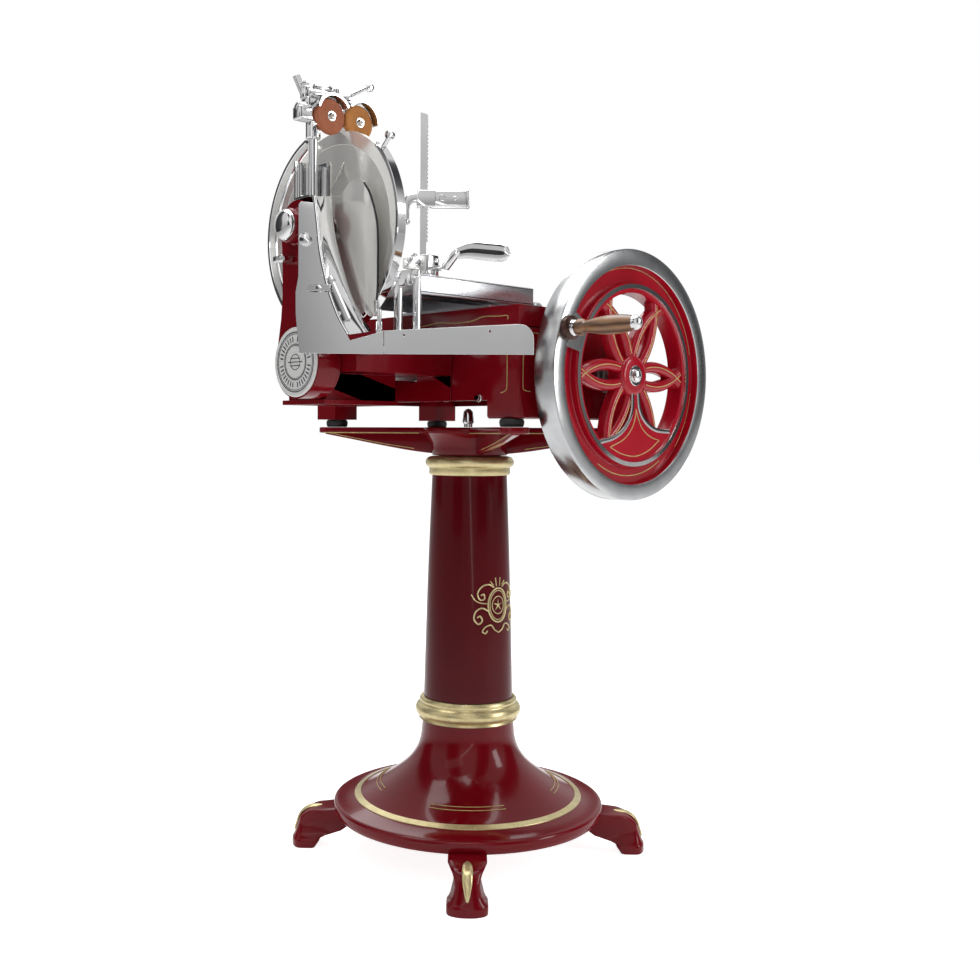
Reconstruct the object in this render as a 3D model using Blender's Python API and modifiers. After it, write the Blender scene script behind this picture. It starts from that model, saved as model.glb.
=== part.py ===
"""A hand-cranked flywheel meat slicer on a cast-iron pedestal.

Units are metres and +Z is up. The operator stands on the -Y side, the blade is in a YZ plane on the
-X side, and the flywheel turns about a shaft along Y. Everything is placed from the pedestal's axis,
and one empty, machine_origin, carries it all to where the object's box is centred on the origin.
"""

import math

import bmesh
import bpy
from mathutils import Matrix, Vector

# Where the pedestal's axis stands, so that the object's box is centred over the origin.
AXIS_X = 0.07968
AXIS_Y = 0.09745

GAP = 0.0003  # between pieces that touch

# Pedestal
FOOT_REACH = 0.339
FOOT_WIDTH = 0.066
BASE_RADIUS = 0.260
BASE_EDGE_TOP = 0.0975
BASE_TOP = 0.262
COLLAR_RADIUS = 0.1024
COLUMN_BOTTOM = 0.300
COLUMN_TOP = 0.7285
COLUMN_RADIUS_LOW = 0.0865
COLUMN_RADIUS_HIGH = 0.0722
UPPER_COLLAR_RADIUS = 0.0854
HEAD_BOTTOM = 0.7665
HEAD_TOP = 0.820
PAD_X = 0.138
PAD_Y = 0.237
PAD_RADIUS = 0.021
PAD_HEIGHT = 0.014

# Machine base
CASTING_FOOT = HEAD_TOP + PAD_HEIGHT + 2 * GAP
FLANGE_BOTTOM = 0.858
DECK_BOTTOM = 0.911
DECK_TOP = 0.955
ARCH_TOP = 0.866
BODY_LEFT = -0.150
BODY_RIGHT = 0.170
BODY_FRONT = -0.262
BODY_BACK = 0.270
BODY_TOP = 0.990
TRACK_TOP = 1.025
TRACK_FRONT = -0.244
WING_LEFT = -0.3665
WING_FRONT = -0.018
WING_RIGHT = -0.2085
WING_BACK = 0.0875
SHELF_FRONT = -0.100
SHELF_LEFT = -0.3660
WALL = 0.008

# Drive
SHAFT_Z = 0.912
WHEEL_X = 0.084
WHEEL_FACE = -0.328
WHEEL_RADIUS = 0.2212
WHEEL_THICKNESS = 0.044
SHAFT_RADIUS = 0.012
CROSS_Y = 0.0
BEVEL_PITCH = 0.035
SPROCKET_RADIUS = 0.030
HANDLE_X = -0.100
HANDLE_Z = 0.984
HANDLE_END = -0.4735

# Blade and its arm
BLADE_X = -0.334
BLADE_Z = 1.1534
BLADE_RADIUS = 0.170
GUARD_RADIUS = 0.1797
ARM_FRONT = -0.4145
ARM_BACK = -0.372
ARM_TOP = 1.1976
BADGE_Z = 0.9275
BADGE_RADIUS = 0.0586
CHAIN_X = -0.3935

# Carriage and meat table
TABLE_LEFT = -0.300
TABLE_RIGHT = -0.021
TABLE_FRONT = -0.180
TABLE_BACK = 0.060
TABLE_BOTTOM = 1.036
TABLE_TOP = 1.069
ROD_RADIUS = 0.008
ROD_X = (-0.100, 0.030)
ROD_Z = 1.010
SCREW_Y = -0.065
SCREW_Z = 1.0495
SCREW_START = -0.200
SCREW_END = 0.098
POST_X = -0.250
POST_Y = -0.136
POST_TOP = 1.345
PRESS_Z = 1.2015

# Sharpener
POST_AXIS_X = -0.389
POST_AXIS_Y = -0.012
STONE_Y = -0.030
STONE_Z = 1.337
STONE_LEFT_X = -0.368
STONE_RIGHT_X = -0.3065
STONE_RADIUS = 0.0295

FACE_X = (math.pi / 2, 0, math.pi / 2)  # an outline drawn in XY then stands in the YZ plane
FACE_Y = (math.pi / 2, 0, 0)  # an outline drawn in XY then stands in the XZ plane, facing -Y
ALONG_X = (0, math.pi / 2, 0)  # a piece turned about Z then lies along X

SIDES = 36  # of a large round piece
FEW_SIDES = 16  # of a small round piece


def clear_scene():
    for obj in list(bpy.data.objects):
        bpy.data.objects.remove(obj, do_unlink=True)


clear_scene()
PARTS = bpy.data.collections.new("flywheel_slicer")
CUTTERS = bpy.data.collections.new("cutters")
CUTTERS.hide_render = True
bpy.context.scene.collection.children.link(PARTS)
bpy.context.scene.collection.children.link(CUTTERS)
ORIGIN = bpy.data.objects.new("machine_origin", None)
ORIGIN.location = (AXIS_X, AXIS_Y, 0)
PARTS.objects.link(ORIGIN)


# Materials


def finish(name, colour, roughness, metallic=0.0, coat=0.0):
    material = bpy.data.materials.new(name)
    material.use_nodes = True
    shader = material.node_tree.nodes["Principled BSDF"]
    shader.inputs["Base Color"].default_value = (*colour, 1)
    shader.inputs["Roughness"].default_value = roughness
    shader.inputs["Metallic"].default_value = metallic
    shader.inputs["Coat Weight"].default_value = coat
    material.diffuse_color = (*colour, 1)
    return material


def red_enamel(name):
    return finish(name, (0.33, 0.004, 0.014), 0.18, coat=0.8)


def chrome(name):
    return finish(name, (0.80, 0.80, 0.80), 0.08, metallic=1.0)


def steel(name):
    return finish(name, (0.55, 0.55, 0.56), 0.30, metallic=1.0)


def gold_paint(name):
    return finish(name, (0.60, 0.42, 0.13), 0.32, metallic=0.8)


def black_rubber(name):
    return finish(name, (0.02, 0.02, 0.02), 0.70)


def wood(name):
    return finish(name, (0.33, 0.17, 0.07), 0.40)


def stone(name):
    return finish(name, (0.62, 0.25, 0.12), 0.85)


def aluminium(name):
    return finish(name, (0.70, 0.71, 0.73), 0.35, metallic=1.0)


def enamel_white(name):
    return finish(name, (0.80, 0.80, 0.77), 0.30)


# Modelling helpers


def place(obj, location=(0, 0, 0), rotation=(0, 0, 0)):
    obj.location = location
    obj.rotation_euler = rotation
    obj.parent = ORIGIN
    return obj


def smooth(mesh, angle=35):
    mesh.shade_smooth()
    mesh.set_sharp_from_angle(angle=math.radians(angle))


def add(name, mesh, material=None, location=(0, 0, 0), rotation=(0, 0, 0)):
    """A sub-part with its own material, or a cutter when it has none."""
    obj = bpy.data.objects.new(name, mesh)
    if material is None:
        CUTTERS.objects.link(obj)
        obj.hide_render = True
        obj.display_type = "WIRE"
    else:
        PARTS.objects.link(obj)
        mesh.materials.append(material(name))
    return place(obj, location, rotation)


def box_mesh(name, size, bevel=0.0, segments=2):
    bm = bmesh.new()
    bmesh.ops.create_cube(bm, size=1)
    bmesh.ops.scale(bm, vec=size, verts=bm.verts)
    if bevel:
        bmesh.ops.bevel(bm, geom=bm.edges, offset=bevel, segments=segments, affect="EDGES", profile=0.5)
    mesh = bpy.data.meshes.new(name)
    bm.to_mesh(mesh)
    bm.free()
    smooth(mesh)
    return mesh


def box(name, low, high, material=None, bevel=0.0, segments=2):
    """A box from its lowest to its highest corner."""
    low, high = Vector(low), Vector(high)
    return add(name, box_mesh(name, high - low, bevel, segments), material, (low + high) / 2)


def rod_mesh(name, radius, length, sides=FEW_SIDES, bevel=0.0):
    """A cylinder along Z that starts at its own origin."""
    bm = bmesh.new()
    bmesh.ops.create_cone(
        bm, cap_ends=True, segments=sides, radius1=radius, radius2=radius, depth=length,
        matrix=Matrix.Translation((0, 0, length / 2)),
    )
    if bevel:
        ends = [e for e in bm.edges if abs(e.verts[0].co.z - e.verts[1].co.z) < 1e-6]
        bmesh.ops.bevel(bm, geom=ends, offset=bevel, segments=2, affect="EDGES", profile=0.5)
    mesh = bpy.data.meshes.new(name)
    bm.to_mesh(mesh)
    bm.free()
    smooth(mesh)
    return mesh


def rod(name, radius, start, end, material=None, sides=FEW_SIDES, bevel=0.0):
    """A cylinder from one point to another."""
    start, end = Vector(start), Vector(end)
    turn = (end - start).to_track_quat("Z", "Y").to_euler()
    return add(name, rod_mesh(name, radius, (end - start).length, sides, bevel), material, start, turn)


def turned(name, profile, material=None, location=(0, 0, 0), rotation=(0, 0, 0), sides=SIDES, ring=False):
    """A turned piece: (radius, height) points that run down its outer side. A ring's profile closes."""
    mesh = bpy.data.meshes.new(name)
    points = [(radius, 0, height) for radius, height in profile]
    edges = [(i, i + 1) for i in range(len(points) - 1)]
    if ring:
        edges.append((len(points) - 1, 0))
    mesh.from_pydata(points, edges, [])
    obj = add(name, mesh, material, location, rotation)
    screw = obj.modifiers.new("turn", "SCREW")
    screw.steps = sides
    screw.render_steps = sides
    screw.use_merge_vertices = True
    screw.merge_threshold = 1e-5
    screw.use_smooth_shade = True
    return obj


def arc(centre, radius, start, end, steps):
    """Points of an arc, with its angles in degrees."""
    angles = [math.radians(start + (end - start) * i / steps) for i in range(steps + 1)]
    return [(centre[0] + radius * math.cos(a), centre[1] + radius * math.sin(a)) for a in angles]


def outline_mesh(name, outlines, thickness):
    """A flat plate in XY, centred on its thickness. The first outline is its rim, the others are holes."""
    curve = bpy.data.curves.new(name, "CURVE")
    curve.dimensions = "2D"
    curve.fill_mode = "BOTH"
    curve.extrude = thickness / 2
    for points in outlines:
        spline = curve.splines.new("POLY")
        spline.points.add(len(points) - 1)
        for point, (x, y) in zip(spline.points, points):
            point.co = (x, y, 0, 1)
        spline.use_cyclic_u = True
    return curve_to_mesh(name, curve)


def curve_to_mesh(name, curve):
    source = bpy.data.objects.new(name + "_curve", curve)
    PARTS.objects.link(source)
    bpy.context.view_layer.update()
    graph = bpy.context.evaluated_depsgraph_get()
    mesh = bpy.data.meshes.new_from_object(source.evaluated_get(graph))
    bpy.data.objects.remove(source, do_unlink=True)
    bm = bmesh.new()
    bm.from_mesh(mesh)
    bmesh.ops.remove_doubles(bm, verts=bm.verts, dist=1e-6)
    bmesh.ops.recalc_face_normals(bm, faces=bm.faces)
    bm.to_mesh(mesh)
    bm.free()
    mesh.name = name
    mesh.materials.clear()
    smooth(mesh)
    return mesh


def tube(name, points, radius, material=None, resolution=2, location=(0, 0, 0), rotation=(0, 0, 0)):
    """A round bar along a smooth line through its points."""
    curve = bpy.data.curves.new(name, "CURVE")
    curve.dimensions = "3D"
    curve.bevel_depth = radius
    curve.bevel_resolution = resolution
    curve.use_fill_caps = True
    curve.resolution_u = 4
    spline = curve.splines.new("BEZIER")
    spline.bezier_points.add(len(points) - 1)
    for knot, point in zip(spline.bezier_points, points):
        knot.co = point
        knot.handle_left_type = "AUTO"
        knot.handle_right_type = "AUTO"
    return add(name, curve_to_mesh(name, curve), material, location, rotation)


def combine(target, operation, *others):
    """Unites the others with the target, or cuts them from it."""
    for other in others:
        boolean = target.modifiers.new(other.name, "BOOLEAN")
        boolean.operation = operation
        boolean.solver = "EXACT"
        boolean.object = other
    return target


def join(target, *others):
    return combine(target, "UNION", *others)


def cut(target, *others):
    return combine(target, "DIFFERENCE", *others)


# Pedestal


def pedestal_feet(base):
    side = [(0.175, 0.0905), (0.175, 0.058), (0.225, 0.052), (0.262, 0.036), (0.276, 0.012), (0.278, 0.0)]
    side += [(FOOT_REACH, 0.0), (FOOT_REACH, 0.014), (0.331, 0.038), (0.312, 0.060), (0.288, 0.0715)]
    side += [(0.262, 0.0735), (0.246, 0.0740), (0.244, 0.0905)]
    mesh = outline_mesh("pedestal_foot", [side], FOOT_WIDTH)
    for number, angle in enumerate((45, 135, 225, 315), start=1):
        foot = add(f"pedestal_foot_{number}_cutter", mesh.copy())
        foot.rotation_euler = (math.pi / 2, 0, math.radians(angle))
        join(base, foot)


def pedestal_base():
    flare = [(0.0, BASE_TOP), (0.088, BASE_TOP), (0.0885, 0.245), (0.092, 0.222), (0.101, 0.196)]
    flare += [(0.118, 0.172), (0.142, 0.152), (0.175, 0.135), (0.212, 0.121), (0.240, 0.110)]
    flare += [(0.255, 0.104), (BASE_RADIUS, BASE_EDGE_TOP), (BASE_RADIUS, 0.082), (0.255, 0.0755)]
    flare += [(0.246, 0.0735), (0.150, 0.0735), (0.120, 0.095), (0.0, 0.095)]
    pedestal_feet(turned("pedestal_base", flare, red_enamel))


def gold_ring(radius, height, thickness, lip_radius, lip_low, lip_high, inner):
    """A collar: a half-round bead with a narrow lip beside it."""
    bead = arc((radius - thickness / 2, height), thickness / 2, 80, -80, 5)
    low = [(inner, min(lip_low, bead[-1][1])), (inner, max(lip_high, bead[0][1]))]
    if lip_low > height:
        return [(lip_radius - 0.002, lip_high), (lip_radius, lip_low + 0.004), *bead, (inner, bead[-1][1]),
            low[1]]
    return [low[1], (inner + 0.004, bead[0][1]), *bead, (lip_radius, lip_high),
        (lip_radius - 0.002, lip_low), low[0]]


def pedestal_column():
    inner = 0.060
    lower = gold_ring(COLLAR_RADIUS, 0.278, 0.030, 0.0935, 0.292, COLUMN_BOTTOM, inner)
    turned("lower_collar", lower, gold_paint, ring=True)
    turned(
        "column",
        [
            (inner, COLUMN_TOP), (COLUMN_RADIUS_HIGH, COLUMN_TOP),
            (COLUMN_RADIUS_LOW, COLUMN_BOTTOM + GAP), (inner, COLUMN_BOTTOM + GAP),
        ],
        red_enamel, ring=True,
    )
    upper = gold_ring(UPPER_COLLAR_RADIUS, 0.7535, 0.022, 0.0785, COLUMN_TOP + GAP, 0.741, inner)
    turned("upper_collar", upper, gold_paint, ring=True)


def stand_head():
    neck = [(0.0, HEAD_TOP), (0.090, HEAD_TOP), (0.090, 0.808), (0.074, 0.803), (0.0725, HEAD_BOTTOM),
        (0.0, HEAD_BOTTOM)]
    head = turned("stand_head", neck, red_enamel)
    reach = math.hypot(PAD_X, PAD_Y) + 0.033
    rib = [(0.040, HEAD_BOTTOM + 0.002), (0.100, HEAD_BOTTOM + 0.004), (0.140, 0.773), (0.185, 0.786)]
    rib += [(0.250, 0.7905), (0.280, 0.796), (reach - 0.010, 0.811), (0.040, 0.811)]
    for number, (x, y) in enumerate(((1, 1), (-1, 1), (-1, -1), (1, -1)), start=1):
        angle = math.atan2(y * PAD_Y, x * PAD_X)
        arm = add(f"head_arm_{number}_cutter", box_mesh("head_arm", (reach, 0.052, 0.0115)))
        arm.location = (math.cos(angle) * reach / 2, math.sin(angle) * reach / 2, HEAD_TOP - 0.00575)
        arm.rotation_euler = (0, 0, angle)
        web = add(f"head_web_{number}_cutter", outline_mesh("head_web", [rib], 0.014))
        web.rotation_euler = (math.pi / 2, 0, angle)
        join(head, arm, web)


def rubber_pads():
    for number, (x, y) in enumerate(((1, 1), (-1, 1), (-1, -1), (1, -1)), start=1):
        pad = rod_mesh("rubber_pad", PAD_RADIUS, PAD_HEIGHT, bevel=0.0015)
        add(f"rubber_pad_{number}", pad, black_rubber, (x * PAD_X, y * PAD_Y, HEAD_TOP + GAP))


def head_bolt():
    profile = [(0.0, 0.034), (0.006, 0.0325), (0.0085, 0.027), (0.009, 0.014), (0.013, 0.012), (0.014, 0.0),
        (0.0, 0.0)]
    turned("head_bolt", profile, chrome, (-0.075, -0.070, HEAD_TOP + GAP), sides=FEW_SIDES)


# Machine base


def base_casting():
    body = box("base_casting", (BODY_LEFT, -0.100, ARCH_TOP), (BODY_RIGHT, BODY_BACK, BODY_TOP), red_enamel)
    wing = box("base_wing_cutter", (WING_LEFT, WING_FRONT, FLANGE_BOTTOM),
        (WING_RIGHT, WING_BACK, DECK_TOP))
    low = (WING_LEFT - 0.008, WING_FRONT - 0.008, FLANGE_BOTTOM - 0.0005)
    flange = box("base_flange_cutter", low, (WING_RIGHT - 0.0005, WING_BACK + 0.008, 0.8655))
    low = (SHELF_LEFT, SHELF_FRONT + 0.0005, DECK_BOTTOM)
    shelf = box("base_shelf_cutter", low, (BODY_LEFT + 0.010, WING_BACK - 0.0010, 0.9545))
    low = (WING_RIGHT - 0.010, WING_BACK - 0.033, 0.870)
    bridge = box("base_bridge_cutter", low, (BODY_LEFT + 0.012, WING_BACK - 0.0020, 0.935))
    join(body, wing, flange, shelf, bridge)
    low = (BODY_LEFT + WALL, -0.110, 0.80)
    body_hollow = box("body_hollow_cutter", low, (BODY_RIGHT - WALL, BODY_BACK - WALL, BODY_TOP - WALL))
    low = (WING_LEFT + WALL, WING_FRONT + WALL, 0.80)
    wing_hollow = box("wing_hollow_cutter", low, (WING_RIGHT - WALL, WING_BACK - WALL, 0.945))
    low = (WING_RIGHT - 0.020, -0.0105, SHAFT_Z - 0.0105)
    shaft_tunnel = box("shaft_tunnel_cutter", low, (BODY_LEFT + 0.020, 0.0105, SHAFT_Z + 0.0105))
    start = (WING_LEFT - 0.020, CROSS_Y, SHAFT_Z)
    shaft_bore = rod("cross_bore_cutter", 0.0095, start, (WING_LEFT + 0.030, CROSS_Y, SHAFT_Z))
    seat = add("arm_seat_cutter", outline_mesh("arm_seat", [arm_outline(-0.0005)], 0.080))
    place(seat, (ARM_BACK + 0.0055 - 0.040, CROSS_Y, 0), FACE_X)
    cut(body, body_hollow, wing_hollow, shaft_tunnel, shaft_bore, seat)
    for number, x in enumerate((PAD_X, -PAD_X), start=1):
        low = (x - 0.028, PAD_Y - 0.028, CASTING_FOOT)
        join(body, box(f"base_lug_{number}_cutter", low, (x + 0.028, PAD_Y + 0.028, 0.880)))


def gear_housing():
    high = (BODY_RIGHT, -0.100 - GAP, BODY_TOP)
    front = box("gear_housing", (BODY_LEFT, BODY_FRONT, CASTING_FOOT), high, red_enamel, 0.005)
    high = (BODY_RIGHT + 0.020, -0.050, ARCH_TOP)
    arch = box("housing_arch_cutter", (BODY_LEFT - 0.020, -0.190, 0.80), high)
    high = (BODY_RIGHT - WALL, -0.050, BODY_TOP - WALL)
    hollow = box("housing_hollow_cutter", (BODY_LEFT + WALL, BODY_FRONT + 0.050, 0.80), high)
    start = (WHEEL_X, BODY_FRONT - 0.020, SHAFT_Z)
    cut(front, arch, hollow, rod("housing_bore_cutter", 0.022, start, (WHEEL_X, -0.150, SHAFT_Z)))
    inner = SHAFT_RADIUS + GAP
    bush = [(0.030, 0.004), (0.030, 0.0), (0.0217, 0.0), (0.0217, -0.050), (inner, -0.050), (inner, 0.004)]
    centre = (WHEEL_X, BODY_FRONT - GAP, SHAFT_Z)
    turned("shaft_bush", bush, steel, centre, FACE_Y, FEW_SIDES, ring=True)


def carriage_track():
    """The frame on top of the base: one side rail and the two cross pieces that hold the slide rods."""
    low = BODY_TOP + GAP
    track = box("carriage_track", (BODY_LEFT, BODY_FRONT, low), (-0.133, BODY_BACK, TRACK_TOP), red_enamel)
    join(
        track,
        box("track_front_cutter", (-0.140, BODY_FRONT, low), (0.060, TRACK_FRONT, TRACK_TOP)),
        box("track_rear_cutter", (-0.140, BODY_BACK - 0.018, low), (0.060, BODY_BACK, TRACK_TOP)),
    )
    for number, x in enumerate(ROD_X, start=1):
        start = (x, BODY_FRONT + 0.004, ROD_Z)
        cut(track, rod(f"rod_socket_{number}_cutter", ROD_RADIUS + GAP, start,
            (x, BODY_BACK - 0.004, ROD_Z)))


# Flywheel and drive


def petal_half_width(radius, inner, outer, widest):
    return widest * max(0.0, math.sin(math.pi * (radius - inner) / (outer - inner))) ** 0.8


def petal_hole(angle):
    """The almond opening inside one loop of the flower."""
    inner, outer = 0.20 * WHEEL_RADIUS, 0.575 * WHEEL_RADIUS
    steps = 8
    radii = [inner + (outer - inner) * i / steps for i in range(steps + 1)]
    side = [(r, petal_half_width(r, inner, outer, 0.066 * WHEEL_RADIUS)) for r in radii]
    loop = side[:-1] + [(r, -w) for r, w in reversed(side[1:])]
    return rotated(loop, angle)


def gap_hole(angle):
    """The opening between two loops, out to the ring round the flower."""
    inner, outer = 0.32 * WHEEL_RADIUS, 0.655 * WHEEL_RADIUS
    steps = 8
    side = []
    for i in range(steps + 1):
        radius = inner + (outer - inner) * i / steps
        width = 0.020 * WHEEL_RADIUS
        if radius < 0.60 * WHEEL_RADIUS:
            width += petal_half_width(radius, 0.12 * WHEEL_RADIUS, 0.60 * WHEEL_RADIUS,
                0.118 * WHEEL_RADIUS)
        half = math.radians(30) - math.asin(min(0.49, width / radius))
        side.append((radius, half))
    right = [(r * math.cos(h), r * math.sin(h)) for r, h in side]
    left = [(x, -y) for x, y in reversed(right)]
    return rotated(right + left, angle)


def rotated(points, angle):
    c, s = math.cos(math.radians(angle)), math.sin(math.radians(angle))
    return [(c * x - s * y, s * x + c * y) for x, y in points]


def flywheel():
    centre = (WHEEL_X, WHEEL_FACE, SHAFT_Z)
    r = WHEEL_RADIUS
    inner = 0.868 * r
    rim = [(r - 0.003, 0.0), (r, -0.003), (r, -WHEEL_THICKNESS + 0.003), (r - 0.003, -WHEEL_THICKNESS)]
    rim += [(inner, -WHEEL_THICKNESS), (inner, 0.0)]
    turned("flywheel_rim", rim, chrome, centre, FACE_Y, 48, ring=True)
    holes = [petal_hole(angle) for angle in (0, 60, 120, 180, 240, 300)]
    holes += [gap_hole(angle) for angle in (30, 90, 150, 210, 330)]
    hub_hole = arc((0, 0), 0.0203, 0, 360 - 15, 23)
    web = outline_mesh("flywheel_web", [arc((0, 0), inner - GAP, 0, 352.5, 47), *holes, hub_hole], 0.026)
    add("flywheel_web", web, red_enamel, (WHEEL_X, WHEEL_FACE + 0.019, SHAFT_Z), FACE_Y)
    hub = [(0.0, -0.004), (0.018, -0.0045), (0.020, -0.007), (0.020, -0.058), (SHAFT_RADIUS, -0.058)]
    hub += [(SHAFT_RADIUS, -0.288), (0.008, -0.290), (0.008, -0.3200), (0.0, -0.3200)]
    turned("flywheel_shaft", hub, steel, centre, FACE_Y, FEW_SIDES)
    bolt = [(0.0, 0.005), (0.006, 0.004), (0.0085, 0.001), (0.009, -0.0037), (0.0, -0.0037)]
    turned("hub_bolt", bolt, chrome, centre, FACE_Y, FEW_SIDES)


def handle():
    root = (HANDLE_X, WHEEL_FACE, HANDLE_Z)
    stud = [(0.0, 0.1455), (0.0070, 0.1440), (0.0092, 0.1400), (0.0092, 0.1343), (0.0045, 0.1343),
        (0.0045, 0.0185)]
    stud += [(0.0105, 0.0180), (0.0105, 0.0075), (0.0200, 0.0060), (0.0215, 0.0020), (0.0215, GAP),
        (0.0, GAP)]
    turned("handle_stud", stud, chrome, root, FACE_Y, FEW_SIDES)
    grip = [(0.0095, 0.1340), (0.0125, 0.1325), (0.0140, 0.118), (0.0148, 0.090), (0.0140, 0.062),
        (0.0118, 0.042)]
    grip += [(0.0125, 0.034), (0.0150, 0.030), (0.0150, 0.023), (0.0125, 0.0190), (0.0048, 0.0190),
        (0.0048, 0.1340)]
    turned("handle_grip", grip, wood, root, FACE_Y, FEW_SIDES, ring=True)


def toothed(teeth, tip, root):
    """A gear's outline: four points to a tooth."""
    points = []
    for i in range(teeth):
        for share, radius in ((0.0, root), (0.28, root), (0.42, tip), (0.86, tip)):
            angle = 2 * math.pi * (i + share) / teeth
            points.append((radius * math.cos(angle), radius * math.sin(angle)))
    return points


def bevel_gear_mesh(name, teeth, length, bore):
    """A bevel gear along Z: wide end at z = 0, narrowing upwards at 45 degrees."""
    mesh = outline_mesh(name, [toothed(teeth, 1.0, 0.86), arc((0, 0), 0.36, 0, 345, 23)], 1.0)
    wide, narrow = BEVEL_PITCH - 0.0012, BEVEL_PITCH - length - 0.0012
    for vertex in mesh.vertices:
        radius = wide if vertex.co.z < 0 else narrow
        flat = Vector((vertex.co.x, vertex.co.y))
        if flat.length < 0.5:
            flat = flat.normalized() * bore
        else:
            flat = flat * radius
        vertex.co = (flat.x, flat.y, 0.0 if vertex.co.z < 0 else length)
    return mesh


def bevel_gears():
    length = 0.014
    drive = bevel_gear_mesh("drive_bevel_gear", 20, length, 0.008 + GAP)
    add("drive_bevel_gear", drive, steel, (WHEEL_X, CROSS_Y - BEVEL_PITCH, SHAFT_Z), (-math.pi / 2, 0, 0))
    cross = bevel_gear_mesh("cross_bevel_gear", 20, length, 0.008 + GAP)
    add("cross_bevel_gear", cross, steel, (WHEEL_X - BEVEL_PITCH, CROSS_Y, SHAFT_Z), ALONG_X)


def cross_shaft():
    left, right = -0.4055, WHEEL_X - 0.0195
    profile = [(0.0, right - left), (0.008, right - left), (0.008, 0.0), (0.0, 0.0)]
    turned("cross_shaft", profile, steel, (left, CROSS_Y, SHAFT_Z), ALONG_X, FEW_SIDES)
    sprocket = outline_mesh("cross_sprocket", [toothed(14, SPROCKET_RADIUS, 0.026),
        arc((0, 0), 0.008 + GAP, 0, 345, 23)], 0.006)
    add("cross_sprocket", sprocket, steel, (CHAIN_X, CROSS_Y, SHAFT_Z), FACE_X)
    crank = outline_mesh("crank_plate", [arc((0, 0), 0.044, 0, 350, 35),
        arc((0, 0), 0.008 + GAP, 0, 345, 23)], 0.010)
    add("crank_plate", crank, steel, (-0.060, CROSS_Y, SHAFT_Z), FACE_X)
    rod("crank_pin", 0.006, (-0.060 - 0.005 - GAP, CROSS_Y, SHAFT_Z + 0.033),
        (-0.085, CROSS_Y, SHAFT_Z + 0.033), steel)


def drive_chain():
    middle = (SHAFT_Z + BLADE_Z) / 2
    half = (BLADE_Z - SHAFT_Z) / 2
    outer, inner = SPROCKET_RADIUS + 0.0055, SPROCKET_RADIUS + 0.0008
    loops = []
    for radius in (outer, inner):
        loops.append(arc((0, half), radius, 0, 180, 20) + arc((0, -half), radius, 180, 360, 20))
    add("drive_chain", outline_mesh("drive_chain", loops, 0.007), steel, (CHAIN_X, CROSS_Y, middle), FACE_X)


# Blade arm and blade


def arm_outline(shrink):
    """The arm's outline, pulled in all round by shrink: a round foot, a slim waist and a round head."""
    foot, head = 0.0615 - shrink, 0.044 - shrink
    waist = 0.040 - shrink
    right = [(waist + 0.004, BADGE_Z + 0.075), (waist, BADGE_Z + 0.115), (waist, BLADE_Z - 0.045)]
    left = [(-x, y) for x, y in reversed(right)]
    return arc((0, BADGE_Z), foot, 150, 390, 24) + right + arc((0, BLADE_Z), head, -15, 195, 20) + left


def blade_arm():
    case = add("arm_case", outline_mesh("arm_case", [arm_outline(0.0)], ARM_BACK - ARM_FRONT), red_enamel)
    place(case, ((ARM_FRONT + ARM_BACK) / 2, CROSS_Y, 0), FACE_X)
    hollow = add("arm_hollow_cutter", outline_mesh("arm_hollow", [arm_outline(0.0045)], 0.045))
    place(hollow, (ARM_FRONT + 0.006 + 0.0225, CROSS_Y, 0), FACE_X)
    hub_bore = rod("arm_hub_bore_cutter", 0.0165, (ARM_FRONT - 0.02, 0, BLADE_Z),
        (ARM_FRONT + 0.02, 0, BLADE_Z))
    cut(case, hollow, hub_bore)
    ports = [arc((0, BLADE_Z), 0.0165, 0, 345, 23), arc((0, SHAFT_Z), 0.010, 0, 345, 23)]
    cover = outline_mesh("arm_cover", [arm_outline(0.0), *ports], 0.004)
    add("arm_cover", cover, red_enamel, (ARM_BACK + GAP + 0.002, CROSS_Y, 0), FACE_X)
    hub = [(0.0275, -0.0225), (0.0285, -0.0205), (0.0285, 0.0), (0.0160, 0.0), (0.0160, 0.012),
        (0.0105, 0.012), (0.0105, -0.0225)]
    turned("arm_hub", hub[::-1], red_enamel, (ARM_FRONT - GAP, 0, BLADE_Z), ALONG_X, SIDES, ring=True)
    cap = [(0.0, 0.0), (0.0255, 0.0), (0.0255, -0.003), (0.0235, -0.0065), (0.0180, -0.0095),
        (0.010, -0.0115), (0.0, -0.0120)]
    turned("arm_cap", cap, chrome, (ARM_FRONT - 0.0225 - 2 * GAP, 0, BLADE_Z), ALONG_X, SIDES)
    badge = [(0.0, 0.0), (BADGE_RADIUS, 0.0), (BADGE_RADIUS, -0.0020), (BADGE_RADIUS - 0.001, -0.0030),
        (0.0, -0.0030)]
    turned("badge_plate", badge, enamel_white, (ARM_FRONT - GAP, 0, BADGE_Z), ALONG_X, SIDES)


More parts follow.
